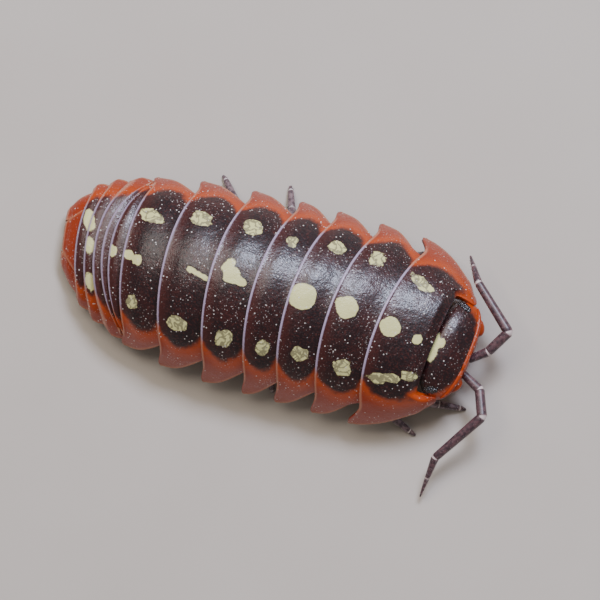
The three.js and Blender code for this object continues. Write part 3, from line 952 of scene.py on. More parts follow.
@dataclass(frozen=True)
class ShellPlate:
    """One arched back or tail plate, in millimetres.

    rear and front are its edges at the midline, and from_arch and to_arch its sides. sweep and
    front_sweep are how far ahead of the midline the edges lie at the rim. tip and front_tip are how far
    back the corners reach, and flank is extra length of the front edge at the rim. corner and tail are
    the shares of the arch that the front and rear corners lose, and rounding is what the rear corner
    loses besides, to be round. front_drop is how far the front edge rolls down. thickness is the
    sheet's, step is how deep the front lies under the plate ahead, overlap how much of it is tucked
    there, and swell how far the plate sinks between its edges. band is the arch share at which the rim
    colour begins, left and right, and seam_reach the arch share where the pale edge line ends. columns
    and rows are the grid's points.
    """

    name: str
    rear: float
    front: float
    from_arch: float = -1.0
    to_arch: float = 1.0
    sweep: float = 0.8
    front_sweep: float = 0.8
    tip: float = 0.0
    front_tip: float = 0.0
    flank: float = 0.0
    corner: float = 0.36
    tail: float = 0.0
    rounding: float = 0.015
    front_drop: float = 0.08
    thickness: float = 0.16
    step: float = 0.2
    overlap: float = 0.5
    swell: float = 0.05
    band: tuple[float, float] = (0.72, 0.66)
    seam_reach: float = 0.86
    columns: int = 170
    rows: int = 34
    slot: Slot = Slot.SHELL

    def tip_share(self, arch: np.ndarray) -> np.ndarray:
        """How much of the tip applies at an arch share: a smooth rise over the outer third."""
        return smooth((np.abs(arch) - 0.66) / 0.34) ** 1.5

    def spread(self, count: int) -> np.ndarray:
        """Places from 0 to 1, closer together towards both ends, by a sine."""
        t = np.linspace(0, 1, count)
        return t - 0.09 * np.sin(2 * np.pi * t)

    def plan(self, u: np.ndarray, v: np.ndarray) -> tuple[np.ndarray, np.ndarray]:
        """Places on the envelope.

        x runs straight from the rear edge to the front edge. The arch share is pulled in at the corners
        by the fourth power of the side share.

        Args:
            u: 0 at the right side, 1 at the left.
            v: 0 at the rear edge, 1 at the front.
        Returns:
            x and arch share.
        """
        side = 2 * u - 1
        arch = (self.from_arch + self.to_arch) / 2 + side * (self.to_arch - self.from_arch) / 2
        aside = arch * arch
        start = self.rear + self.sweep * aside - self.tip * self.tip_share(arch)
        share = np.abs(arch)
        forward = self.flank * smooth((share - 0.5) / 0.16) * (1 - 0.3 * smooth((share - 0.7) / 0.3))
        end = self.front + self.front_sweep * aside - self.front_tip * self.tip_share(arch) + forward
        x = start + (end - start) * v
        lost = (self.corner * v**1.5 + self.tail * (1 - v) ** 2) * side**4
        rounded = self.round_corners(side, v)
        return x, arch - (lost + rounded) * side * (self.to_arch - self.from_arch) / 2

    def round_corners(self, side: np.ndarray, v: np.ndarray) -> np.ndarray:
        """What the rear corner loses to be round, near the rear edge and fastest at its end."""
        return self.rounding * smooth(1 - v / 0.16) * np.abs(side) ** 12

    def depth(self, v: np.ndarray) -> np.ndarray:
        """Depth of the outer face under the envelope.

        The plate lies deepest at its front, where it slides under the plate ahead, and rises towards
        its rear edge, whose lip is a fine bead. It sinks a little between.

        Args:
            v: 0 at the rear edge, 1 at the front.
        Returns:
            The depth at each point.
        """
        length = self.front - self.rear
        tucked = self.overlap / length if self.overlap > 0 else 0.0
        rise = smooth((v - (0.45 - tucked)) / 0.55) if self.overlap > 0 else 0.0 * v
        lip = LIP_HEIGHT * np.exp(-(((v * length - LIP_PLACE) / LIP_WIDTH) ** 2))
        hollow = self.swell * smooth(v * length / 0.5) * (1 - v) * 0.6
        end_round = self.front_drop * smooth((v - 0.82) / 0.18)
        return self.step * rise + hollow - lip + end_round + LIP_HEIGHT

    def surface(self) -> Surface:
        """The plate as one closed sheet, with the values that its finish reads."""
        v, u = np.meshgrid(self.spread(self.rows), self.spread(self.columns), indexing="ij")
        x, arch = self.plan(u, v)
        depth = self.depth(v)
        side = np.abs(2 * u - 1)
        thin = np.minimum(1 - 0.55 * smooth((side - 0.86) / 0.14), 1 - 0.4 * smooth(1 - v / 0.1))
        outer = bend(ENVELOPE.under(x, arch, depth))
        inner = bend(ENVELOPE.under(x, arch, depth + self.thickness * thin))
        values = self.finish_values(v, x, arch)
        return sheet(outer, inner, values)

    def finish_values(self, v: np.ndarray, x: np.ndarray, arch: np.ndarray) -> dict[str, np.ndarray]:
        """What the finish reads at each point.

        Args:
            v: 0 at the rear edge, 1 at the front.
            x: places along the body.
            arch: arch shares.
        Returns:
            Millimetres from the nearest spot, the rear edge, the nearer side and the rim colour's
            border, and how far that spot is marbled and the edge line shows.
        """
        rib = ENVELOPE.point(x, arch)
        steps = np.linalg.norm(np.diff(rib, axis=1), axis=-1)
        run = np.concatenate([np.zeros((len(x), 1)), np.cumsum(steps, axis=1)], axis=1)
        rows = np.arange(len(x))
        middle = np.abs(arch).argmin(axis=1)
        across = run - run[rows, middle][:, None]
        spot = np.full(x.shape, 1.0)
        marbled = np.zeros(x.shape)
        # The list holds the spots and one painted highlight, which the finish paints cream like a spot.
        for one in SPOTS_AND_PAINTED_HIGHLIGHT:
            if not self.rear - 0.3 < one.x < self.front + 0.3:
                continue
            away = one.distance(x, across)
            nearer = away < spot
            spot = np.where(nearer, away, spot)
            marbled = np.where(nearer, float(one.marbled), marbled)
        rear = v * (self.front - self.rear)
        margin = np.minimum(run, run[:, -1:] - run)
        start = np.where(arch > 0, self.band[0], self.band[1])
        length = max(self.front - self.rear - self.overlap, 0.3)
        place = np.clip(rear / length, 0, 1)
        pulled = 0.16 * np.abs(2 * place - 1) ** 2.2
        arc_per_share = run[:, -1:] / max(self.to_arch - self.from_arch, 0.1)
        border = (start - pulled - np.abs(arch)) * arc_per_share
        seam = smooth((self.seam_reach - np.abs(arch)) / 0.12)
        return {
            "spot": spot,
            "marbled": marbled,
            "rear": rear,
            "margin": margin,
            "border": border,
            "seam": seam,
        }


# How far a sheet's wall bulges at its border, as a share of its thickness.
WALL_BULGE = 0.35


def sheet(outer: np.ndarray, inner: np.ndarray, values: dict[str, np.ndarray]) -> Surface:
    """A closed thin sheet from an outer and an inner grid of points, with a rounded wall round the border.

    The wall's crest stands about a third of the thickness out from the middle of the two borders.

    Args:
        outer: array (rows, columns, 3).
        inner: the same, under the outer face.
        values: per-point values of the outer face, which the inner face and wall repeat.
    Returns:
        The closed surface.
    """
    rows, columns = outer.shape[:2]
    size = rows * columns
    top = np.arange(columns)
    right = np.arange(1, rows) * columns + columns - 1
    bottom = (rows - 1) * columns + np.arange(columns - 2, -1, -1)
    left = np.arange(rows - 2, 0, -1) * columns
    loop = np.concatenate([top, right, bottom, left])
    flat_outer, flat_inner = outer.reshape(-1, 3), inner.reshape(-1, 3)
    edge_outer, edge_inner = flat_outer[loop], flat_inner[loop]
    across = edge_outer - edge_inner
    tangent = np.roll(edge_outer, -1, axis=0) - np.roll(edge_outer, 1, axis=0)
    away = unit(np.cross(tangent, across))
    reach = np.linalg.norm(across, axis=-1, keepdims=True) * WALL_BULGE
    crest = (edge_outer + edge_inner) / 2 + away * reach
    faces_outer = grid_faces(rows, columns)
    faces_inner = faces_outer[:, ::-1] + size
    ring = 2 * size + np.arange(len(loop))
    ahead = np.roll(ring, -1)
    wall_outer = np.stack([loop, ring, ahead, np.roll(loop, -1)], axis=1)
    wall_inner = np.stack([ring, loop + size, np.roll(loop, -1) + size, ahead], axis=1)
    faces = np.concatenate([faces_outer, faces_inner, wall_outer, wall_inner])
    points = np.concatenate([flat_outer, flat_inner, crest])
    spread = {k: np.concatenate([a.ravel(), a.ravel(), a.ravel()[loop]]) for k, a in values.items()}
    return outward(Surface(points, faces, spread))


# What all plates of the tail share: thinner sheets, tucked in a little, with round corners.
TAIL_SHEET = {"rounding": 0.09, "thickness": 0.1, "step": 0.2, "overlap": 0.18, "swell": 0.02}


@dataclass
class Shell:
    """The seven back plates, five tail plates, the tail tip and the two tail feet, in millimetres.

    The rears are the plates' rear edges at the midline, from the head, and the tips how far back their
    corners reach. tail_overlap is how much of each tail plate is tucked under the plate ahead.
    """

    back_rears: tuple = (4.84, 2.84, 1.11, -0.39, -2.27, -4.31, -6.13)
    back_tips: tuple = (0.8, 0.5, 0.45, 0.45, 0.45, 0.45, 0.45)
    first_front: float = 7.24
    overlap: float = 0.5
    tail_rears: tuple = (-6.77, -7.13, -7.52, -7.97, -8.44)
    tail_sweeps: tuple = (1.6, 1.9, 1.25, 0.8, 0.5)
    tail_tips: tuple = (0.0, 0.25, 0.3, 0.25, 0.2)
    tail_overlap: float = TAIL_SHEET["overlap"]
    # The arch share at the sides of the two short tail plates, and of the tail tip.
    short_side: float = 0.84
    tip_side: float = 0.5
    # The arch share at the inner side of the tail feet, and the rear ends of the tail tip and the feet.
    foot_inner: float = 0.34
    end_rears: tuple = (-9.12, -9.14)

    def first_plate(self) -> ShellPlate:
        """The plate behind the head, which has no plate ahead and reaches round the head with both flanks."""
        return ShellPlate(
            "back_plate_1",
            self.back_rears[0],
            self.first_front,
            tip=self.back_tips[0],
            front_sweep=0.12,
            flank=0.8,
            corner=0.2,
            overlap=0.0,
            swell=0.0,
            front_drop=0.16,
            band=(0.66, 0.6),
            rows=52,
        )

    def back_plates(self) -> list[ShellPlate]:
        """The back plates, from the head."""
        plates = [self.first_plate()]
        for k in range(1, len(self.back_rears)):
            plates.append(
                ShellPlate(
                    f"back_plate_{k + 1}",
                    self.back_rears[k],
                    self.back_rears[k - 1] + self.overlap,
                    tip=self.back_tips[k],
                    front_tip=self.back_tips[k - 1],
                    overlap=self.overlap,
                )
            )
        return plates

    def tail_plates(self) -> list[ShellPlate]:
        """The tail plates, from the front."""
        plates = []
        for k, (rear, sweep) in enumerate(zip(self.tail_rears, self.tail_sweeps)):
            whole = k > 1
            plates.append(
                ShellPlate(
                    f"tail_plate_{k + 1}",
                    rear,
                    (self.tail_rears[k - 1] if k else self.back_rears[-1]) + self.tail_overlap,
                    from_arch=-1.0 if whole else -self.short_side,
                    to_arch=1.0 if whole else self.short_side,
                    sweep=sweep,
                    front_sweep=self.tail_sweeps[k - 1] if k else 0.8,
                    tip=self.tail_tips[k],
                    front_tip=self.tail_tips[k - 1] if k else self.back_tips[-1],
                    flank=0.5 if k == 2 else 0.0,
                    corner=0.1 if whole else 0.0,
                    tail=0.05 if whole else 0.0,
                    band=(0.62, 0.6) if whole else (0.7, 0.66),
                    seam_reach=1.1,
                    columns=130,
                    rows=22,
                    **TAIL_SHEET,
                )
            )
        return plates

    def tail_end(self) -> list[ShellPlate]:
        """The tail tip and the tail feet, which are rim-coloured all over."""
        shared = dict(
            front=self.tail_rears[-1] + self.tail_overlap,
            sweep=0.0,
            front_sweep=self.tail_sweeps[-1],
            front_tip=self.tail_tips[-1],
            corner=0.0,
            seam_reach=1.2,
            band=(-1.0, -1.0),
            columns=36,
            rows=26,
            slot=Slot.TAIL,
        )
        tip_end, foot_end = self.end_rears
        inner = self.foot_inner
        tip = dict(from_arch=-self.tip_side, to_arch=self.tip_side, tail=0.3) | TAIL_SHEET | {"step": 0.1}
        left = dict(from_arch=inner, to_arch=1.0, tail=0.26) | TAIL_SHEET
        right = dict(from_arch=-1.0, to_arch=-inner, tail=0.26) | TAIL_SHEET
        return [
            ShellPlate("tail_tip", tip_end, **shared, **tip),
            ShellPlate("tail_foot_left", foot_end, **shared, **left),
            ShellPlate("tail_foot_right", foot_end, **shared, **right),
        ]

    def build(self, finishes: Finishes) -> None:
        """Writes and dresses every plate.

        Args:
            finishes: the animal's materials.
        """
        for plate in self.back_plates() + self.tail_plates() + self.tail_end():
            piece = write_mesh(f"shell_{plate.name}", plate.surface(), [plate.name])
            dress(piece, finishes.shell)


# The head.


def plain_shell_values(count: int) -> dict[str, np.ndarray]:
    """The shell finish's values for rim-coloured shell with no spot, edge or edge line.

    Args:
        count: how many points.
    Returns:
        Each value by name.
    """
    plain = {"spot": 1.0, "marbled": 0.0, "rear": 0.7, "margin": 1.0, "border": -0.5, "seam": 0.0}
    return {name: np.full(count, value) for name, value in plain.items()}


@dataclass
class Head:
    """The head capsule with its eyes, front rim and feeler bosses, in millimetres.

    profile is its outline from the side, as x and z, and middle the place in it that the outline shrinks to
    towards the sides. drop is how much lower the sides lie. The eye's place is given for the left side.
    """

    half_width: float = 2.1
    middle: tuple = (7.76, 2.08)
    end_power: float = 2.7
    drop: float = 0.28
    profile: tuple = (
        (6.92, 1.2),
        (6.9, 2.45),
        (7.2, 2.9),
        (7.5, 2.97),
        (7.94, 2.84),
        (8.42, 2.5),
        (8.56, 2.3),
        (8.44, 2.12),
        (8.62, 1.7),
        (8.5, 1.15),
        (8.06, 0.8),
        (7.36, 0.85),
    )
    sections: int = 120
    steps: int = 96
    eye_place: tuple = (7.7, 1.72, 2.2)
    eye_radii: tuple = (0.38, 0.24, 0.3)
    eye_turn: float = 24.0
    lenses: int = 90
    lens_angle: float = 0.185
    # The front rim's distance ahead, height and thickness, and its notch right of the middle.
    rim_front: float = 8.58
    rim_height: float = 2.3
    rim_radius: float = 0.075
    notch: float = -0.3
    # Where the left boss starts and ends, and how thick it is.
    boss_start: tuple = (8.1, 1.6, 1.9)
    boss_stop: tuple = (8.62, 0.95, 1.74)
    boss_radius: float = 0.3

    def closed_profile(self, count: int) -> np.ndarray:
        """The side profile as a smooth closed loop of evenly spaced points.

        Args:
            count: how many points.
        Returns:
            Array (count, 2) of x and z.
        """
        knots = np.array(self.profile)
        wrapped = np.concatenate([knots[-2:], knots, knots[:3]])
        per_knot = 24
        fine = spline(wrapped, (len(wrapped) - 1) * per_knot + 1)
        start, stop = 2 * per_knot, (2 + len(knots)) * per_knot + 1
        loop = fine[start:stop]
        lengths = np.concatenate([[0], np.cumsum(np.linalg.norm(np.diff(loop, axis=0), axis=1))])
        at = np.linspace(0, lengths[-1], count, endpoint=False)
        return np.stack([np.interp(at, lengths, loop[:, k]) for k in (0, 1)], axis=1)

    def scale(self, share: np.ndarray) -> np.ndarray:
        """The profile's scale at a share of the half-width: (1 - |share|^power)^(1/2.2)."""
        return (1 - np.abs(share) ** self.end_power) ** (1 / 2.2)

    def capsule(self) -> Surface:
        """The head: its profile carried across the animal and shrunk to nothing at both ends.

        The whole drops with the square of the share of the half-width.

        Returns:
            The head, with the values that its finish reads.
        """
        share = np.sin(np.linspace(-1, 1, self.sections) * np.radians(88))[:, None]
        scale = self.scale(share)
        loop = self.closed_profile(self.steps)
        x = self.middle[0] + (loop[None, :, 0] - self.middle[0]) * scale
        z = self.middle[1] - self.drop * share**2 + (loop[None, :, 1] - self.middle[1]) * scale
        y = np.broadcast_to(share * self.half_width, x.shape)
        straight = capped_rings(np.stack([x, y, z], axis=-1))
        return outward(Surface(bend(straight.points), straight.faces, self.finish_values(straight.points)))

    def finish_values(self, p: np.ndarray) -> dict[str, np.ndarray]:
        """What the finish reads on the head.

        Args:
            p: its points before bending.
        Returns:
            The same values as on a plate, with no edge line.
        """
        x, y, z = p[:, 0], p[:, 1], p[:, 2]
        patch = Spot(7.24, -0.2, 0.2, 0.62, 4)
        bulge = Spot(7.42, 0.08, 0.18, 0.2)
        spot = np.minimum(patch.distance(x, y), bulge.distance(x, y))
        spot = np.where(z > 2.2, spot, 1.0)
        # The face below the front rim is terracotta, and so is the rim itself.
        border = np.where(x > 7.66, (z - 2.26) * 1.4, 0.6)
        return plain_shell_values(len(p)) | {"spot": spot, "border": border}

    def lens_heights(self, direction: np.ndarray) -> np.ndarray:
        """How far each direction from the eye's middle lies up the dome of its nearest lens.

        The lenses' middles are spread evenly by a golden-angle spiral, and a dome falls with the square
        of the angle from its middle.

        Args:
            direction: unit vectors, array (..., 3).
        Returns:
            0 between lenses to 1 on top of one.
        """
        golden = np.pi * (3 - np.sqrt(5))
        index = np.arange(self.lenses)
        height = 1 - 2 * (index + 0.5) / self.lenses
        ring = np.sqrt(1 - height**2)
        seeds = np.stack([ring * np.cos(golden * index), ring * np.sin(golden * index), height], axis=-1)
        near = np.arccos(np.clip(direction @ seeds.T, -1, 1)).min(axis=-1)
        return np.clip(1 - (near / self.lens_angle) ** 2, 0, 1)

    def eye(self, side: Side) -> Surface:
        """A compound eye: an ellipsoid raised by close-set round lenses.

        Args:
            side: which eye.
        Returns:
            The eye, with value "lens".
        """
        down = np.linspace(0.02, np.pi - 0.02, 60)
        around = np.linspace(0, 2 * np.pi, 96, endpoint=False)
        lat, lon = np.meshgrid(down, around, indexing="ij")
        direction = np.stack([np.sin(lat) * np.cos(lon), np.sin(lat) * np.sin(lon), np.cos(lat)], axis=-1)
        lens = self.lens_heights(direction)
        radius = 0.86 + 0.18 * np.sqrt(lens)
        local = direction * radius[..., None] * np.array(self.eye_radii)
        turn = np.radians(-side.value * self.eye_turn)
        sine, cosine = np.sin(turn), np.cos(turn)
        swing = np.array([[cosine, -sine, 0.0], [sine, cosine, 0.0], [0.0, 0.0, 1.0]])
        x, y, z = self.eye_place
        points = bend(local @ swing.T + np.array([x, side.value * y, z]))
        ball = capped_rings(points)
        ball.values = {"lens": np.concatenate([lens.ravel(), [1.0, 1.0]])}
        return outward(ball)

    def front_rim(self) -> Surface:
        """The raised terracotta rim along the head's front edge, with a shallow notch."""
        share = np.linspace(-0.93, 0.93, 90)
        scale = self.scale(share)
        x = self.middle[0] + (self.rim_front - self.middle[0]) * scale
        z = self.middle[1] - self.drop * share**2 + (self.rim_height - self.middle[1]) * scale
        path = bend(np.stack([x, share * self.half_width, z], axis=1))
        radii = self.rim_radius * (1 - np.abs(share) ** 6) + 0.02
        radii = radii * (1 - 0.35 * np.exp(-(((share - self.notch) / 0.05) ** 2)))
        rim = closed_tube(path, radii, 12, UP)
        rim.values = plain_shell_values(len(rim.points))
        return rim

    def boss(self, side: Side) -> Surface:
        """The rounded lobe in front of an eye that the feeler comes out under.

        Args:
            side: which lobe.
        Returns:
            A flattened ellipsoid, with the values that its finish reads.
        """
        along = np.linspace(0, 1, 30)
        mirror = np.array([1.0, side.value, 1.0])
        start = np.array(self.boss_start) * mirror
        stop = np.array(self.boss_stop) * mirror
        path = bend(start + (stop - start) * along[:, None])
        radii = self.boss_radius * np.sqrt(np.clip(1 - (2 * along - 1) ** 2, 0.0, 1)) + 0.01
        lobe = closed_tube(path, radii, 24, UP, 0.7)
        lobe.values = plain_shell_values(len(lobe.points))
        return lobe

    def build(self, finishes: Finishes) -> None:
        """Writes and dresses the head, its rim and bosses, and the eyes.

        Args:
            finishes: the animal's materials.
        """
        dress(write_mesh("head_capsule", self.capsule(), ["head"]), finishes.shell)
        dress(write_mesh("head_front_rim", self.front_rim(), []), finishes.shell)
        for side in Side:
            dress(write_mesh(f"head_boss_{side.word}", self.boss(side), []), finishes.shell)
            node = f"eye_{side.word}"
            dress(write_mesh(f"{node}_lenses", self.eye(side), [node]), finishes.eye)


# Feelers and legs.


# Half the width of a hair's root, the height that no hair goes under, and the hairy share of a limb.
HAIR_WIDTH = 0.011
HAIR_FLOOR = 0.004
HAIRY_SHARE = 0.97


def hairs(path: np.ndarray, radii: np.ndarray, count: int, length: float, seed: int) -> Surface:
    """Short stiff hairs round a limb, each a thin three-sided spike that leans towards the limb's tip.

    Args:
        path: the limb's centres.
        radii: its radii.
        count: how many hairs.
        length: their mean length.
        seed: fixes their places.
    Returns:
        All hairs as one surface.
    """
    chance = np.random.default_rng(seed)
    at = chance.uniform(0.04, HAIRY_SHARE, count) * (len(path) - 1)
    i = at.astype(int)
    part = (at - i)[:, None]
    nearest = np.minimum(i + 1, len(path) - 1)
    centre = path[i] * (1 - part) + path[nearest] * part
    radius = radii[i, None] * (1 - part) + radii[nearest, None] * part
    ahead = unit(path[nearest] - path[np.maximum(i - 1, 0)])
    side = unit(np.cross(ahead, NEARLY_UP))
    top = np.cross(side, ahead)
    turn = chance.uniform(0, 2 * np.pi, (count, 1))
    out = side * np.cos(turn) + top * np.sin(turn)
    root = centre + out * radius * 0.9
    tip = root + unit(out + ahead * 0.7) * length * chance.uniform(0.6, 1.2, (count, 1))
    aside = np.cross(out, ahead) * HAIR_WIDTH
    back = root - ahead * HAIR_WIDTH * 0.5
    points = np.stack([root + ahead * HAIR_WIDTH, back + aside, back - aside, tip], axis=1).reshape(-1, 3)
    points[:, 2] = np.maximum(points[:, 2], HAIR_FLOOR)
    base = np.arange(count)[:, None] * 4
    pattern = np.array([[0, 1, 3, 3], [1, 2, 3, 3], [2, 0, 3, 3], [0, 2, 1, 1]])
    faces = (base[:, :, None] + pattern[None]).reshape(-1, 4)
    return outward(Surface(points, faces, {"joint": np.full(len(points), 0.7)}))


@dataclass
class JointedLimb:
    """A limb of tapered articles, narrow and ringed with pale skin at each joint, in millimetres.

    joints are the centres where articles meet, with the limb's two ends, and radii its radius at each.
    sides and samples are the points round a ring and the rings of an article, and collar the length of
    a joint's narrowing.
    """

    joints: np.ndarray
    radii: tuple
    sides: int = 20
    samples: int = 22
    collar: float = 0.048
    waist: float = 0.8

    def profile(self) -> tuple[np.ndarray, np.ndarray, np.ndarray]:
        """The whole limb, article by article.

        Each article's radius rises from the waist's share to 1 of its own size by a smooth step and
        falls again at the next joint.

        Returns:
            Centres, radii and joint values, which are 1 at a joint.
        """
        centres, sizes, rings = [], [], []
        last = len(self.joints) - 2
        for k in range(last + 1):
            t = np.linspace(0, 1, self.samples, endpoint=k == last)
            start, stop = self.joints[k], self.joints[k + 1]
            length = float(np.linalg.norm(stop - start))
            near, far = self.radii[k], self.radii[k + 1]
            swell = near + (far - near) * t
            to_start, to_end = t * length, (1 - t) * length
            near_joint = smooth(to_start / self.collar)
            if k < last:
                near_joint = near_joint * smooth(to_end / (self.collar * 0.8))
            waist = self.waist + (1 - self.waist) * near_joint
            if k == last:
                waist = waist * np.sqrt(np.clip(1 - t**14, 0.002, 1))
            if k == 0:
                waist = waist * np.where(t < 1e-9, 0.5, 1.0)
            centres.append(start + (stop - start) * t[:, None])
            sizes.append(swell * waist)
            ring = np.exp(-((to_end / (self.collar * 1.1)) ** 2)) if k < last else 0 * t
            ring = np.maximum(ring, np.exp(-((to_start / (self.collar * 0.7)) ** 2)) if k else 0 * t)
            rings.append(ring)
        return np.concatenate(centres), np.concatenate(sizes), np.concatenate(rings)

    def surface(self, hair_count: int, hair_length: float, seed: int) -> Surface:
        """The limb's skin with its hairs.

        Args:
            hair_count: how many hairs.
            hair_length: their mean length.
            seed: fixes their places.
        Returns:
            Both as one, with value "joint".
        """
        path, sizes, rings = self.profile()
        tube = closed_tube(path, sizes, self.sides, NEARLY_UP)
        ends = [rings[0], rings[-1]]
        tube.values = {"joint": np.concatenate([np.repeat(rings, self.sides), ends])}
        return tube.joined(hairs(path, sizes, hair_count, hair_length, seed))


@dataclass
class Feelers:
    """The two feelers, each a stalk, two long articles and a two-part lash, in millimetres.

    The joints are places of the bent body, measured in the photo before the move to the model's origin.
    """

    joints: dict[Side, tuple] = field(
        default_factory=lambda: {
            Side.LEFT: (
                (8.5, -0.6, 1.6),
                (9.25, -0.08, 1.75),
                (9.88, 0.86, 2.0),
                (8.16, 2.52, 1.95),
                (7.74, 3.16, 1.55),
                (7.44, 3.6, 1.15),
            ),
            Side.RIGHT: (
                (8.4, -1.15, 1.5),
                (9.28, -1.66, 1.6),
                (9.68, -2.72, 1.75),
                (8.16, -4.74, 1.1),
                (8.0, -5.6, 0.7),
                (7.86, -6.4, 0.35),
            ),
        }
    )
    radii: tuple = (0.16, 0.2, 0.21, 0.17, 0.1, 0.035)
    nodes: tuple = ("stalk", "fourth_article", "fifth_article", "lash")
    hair_count: int = 420
    hair_length: float = 0.07
    seed: int = 7

    def build(self, finishes: Finishes) -> None:
        """Writes and dresses both feelers.

        Args:
            finishes: the animal's materials.
        """
        for side, joints in self.joints.items():
            limb = JointedLimb(np.array(joints) - ORIGIN, self.radii, samples=30)
            surface = limb.surface(self.hair_count, self.hair_length, self.seed + side.value)
            nodes = [f"feeler_{side.word}_{part}" for part in self.nodes]
            dress(write_mesh(f"feeler_{side.word}_skin", surface, nodes), finishes.feeler)


@dataclass
class Legs:
    """Fourteen walking legs, in millimetres: roots under the trunk, knees under the rims, feet on the floor.

    roots are places along the body and feet the places of the tips, before bending. shares are how far each
    joint lies from root to foot along the body. outs, from knee to foot across it, and lifts, the heights,
    belong to the last four joints.
    """

    roots: tuple = (5.9, 3.85, 1.95, 0.3, -1.35, -3.3, -5.2)
    feet: dict[Side, tuple] = field(
        default_factory=lambda: {
            Side.LEFT: (
                (7.7, 2.3),
                (5.1, 3.6),
                (2.3, 3.65),
                (-0.8, 4.7),
                (-3.4, 4.4),
                (-5.1, 3.2),
                (-7.0, 2.5),
            ),
            Side.RIGHT: (
                (9.0, 1.9),
                (7.5, 3.62),
                (3.6, 3.65),
                (1.1, 3.7),
                (-1.4, 3.65),
                (-4.0, 3.4),
                (-6.9, 2.5),
            ),
        }
    )
    root_y: float = 1.4
    knee_y: float = 2.75
    knee_z: float = 1.24
    belly: float = 1.42
    radii: tuple = (0.25, 0.24, 0.23, 0.22, 0.17, 0.12, 0.05)
    shares: tuple = (0.0, 0.06, 0.3, 0.46, 0.66, 0.92, 1.0)
    outs: tuple = (0.22, 0.5, 0.9, 1.0)
    lifts: tuple = (0.8, 0.46, 0.13, 0.035)
    # The half-width of the body that root_y and knee_y are given for.
    full_width: float = 4.06
    hair_count: int = 110
    hair_length: float = 0.09
    seed: int = 40

    def joints(self, side: Side, index: int) -> np.ndarray:
        """The leg's joints from root to foot, bent with the body.

        Args:
            side: the leg's side.
            index: its place in the row, 0 next to the head.
        Returns:
            Array (7, 3).
        """
        root_x = self.roots[index]
        foot_x, foot_y = self.feet[side][index]
        width = float(ENVELOPE.value(np.array(root_x), Measure.WIDTH)) / self.full_width
        knee_y = min(self.knee_y * width, max(foot_y - 0.35, 2.35))
        root_y = self.root_y * width
        top = self.belly - 0.02
        outs = [root_y, root_y + 0.25, knee_y, *(knee_y + (foot_y - knee_y) * share for share in self.outs)]
        lifts = [top, top - 0.34, self.knee_z - 0.14, *self.lifts]
        x = root_x + (foot_x - root_x) * np.array(self.shares)
        return bend(np.stack([x, side.value * np.array(outs), np.array(lifts)], axis=1))

    def build(self, finishes: Finishes) -> None:
        """Writes and dresses all fourteen legs.

        Args:
            finishes: the animal's materials.
        """
        for side in Side:
            for index in range(len(self.roots)):
                limb = JointedLimb(self.joints(side, index), self.radii, sides=18, samples=16)
                seed = self.seed + index + 10 * side.value
                name = f"leg_{side.word}_{index + 1}"
                surface = limb.surface(self.hair_count, self.hair_length, seed)
                dress(write_mesh(f"{name}_skin", surface, [name]), finishes.leg)


# The underside.


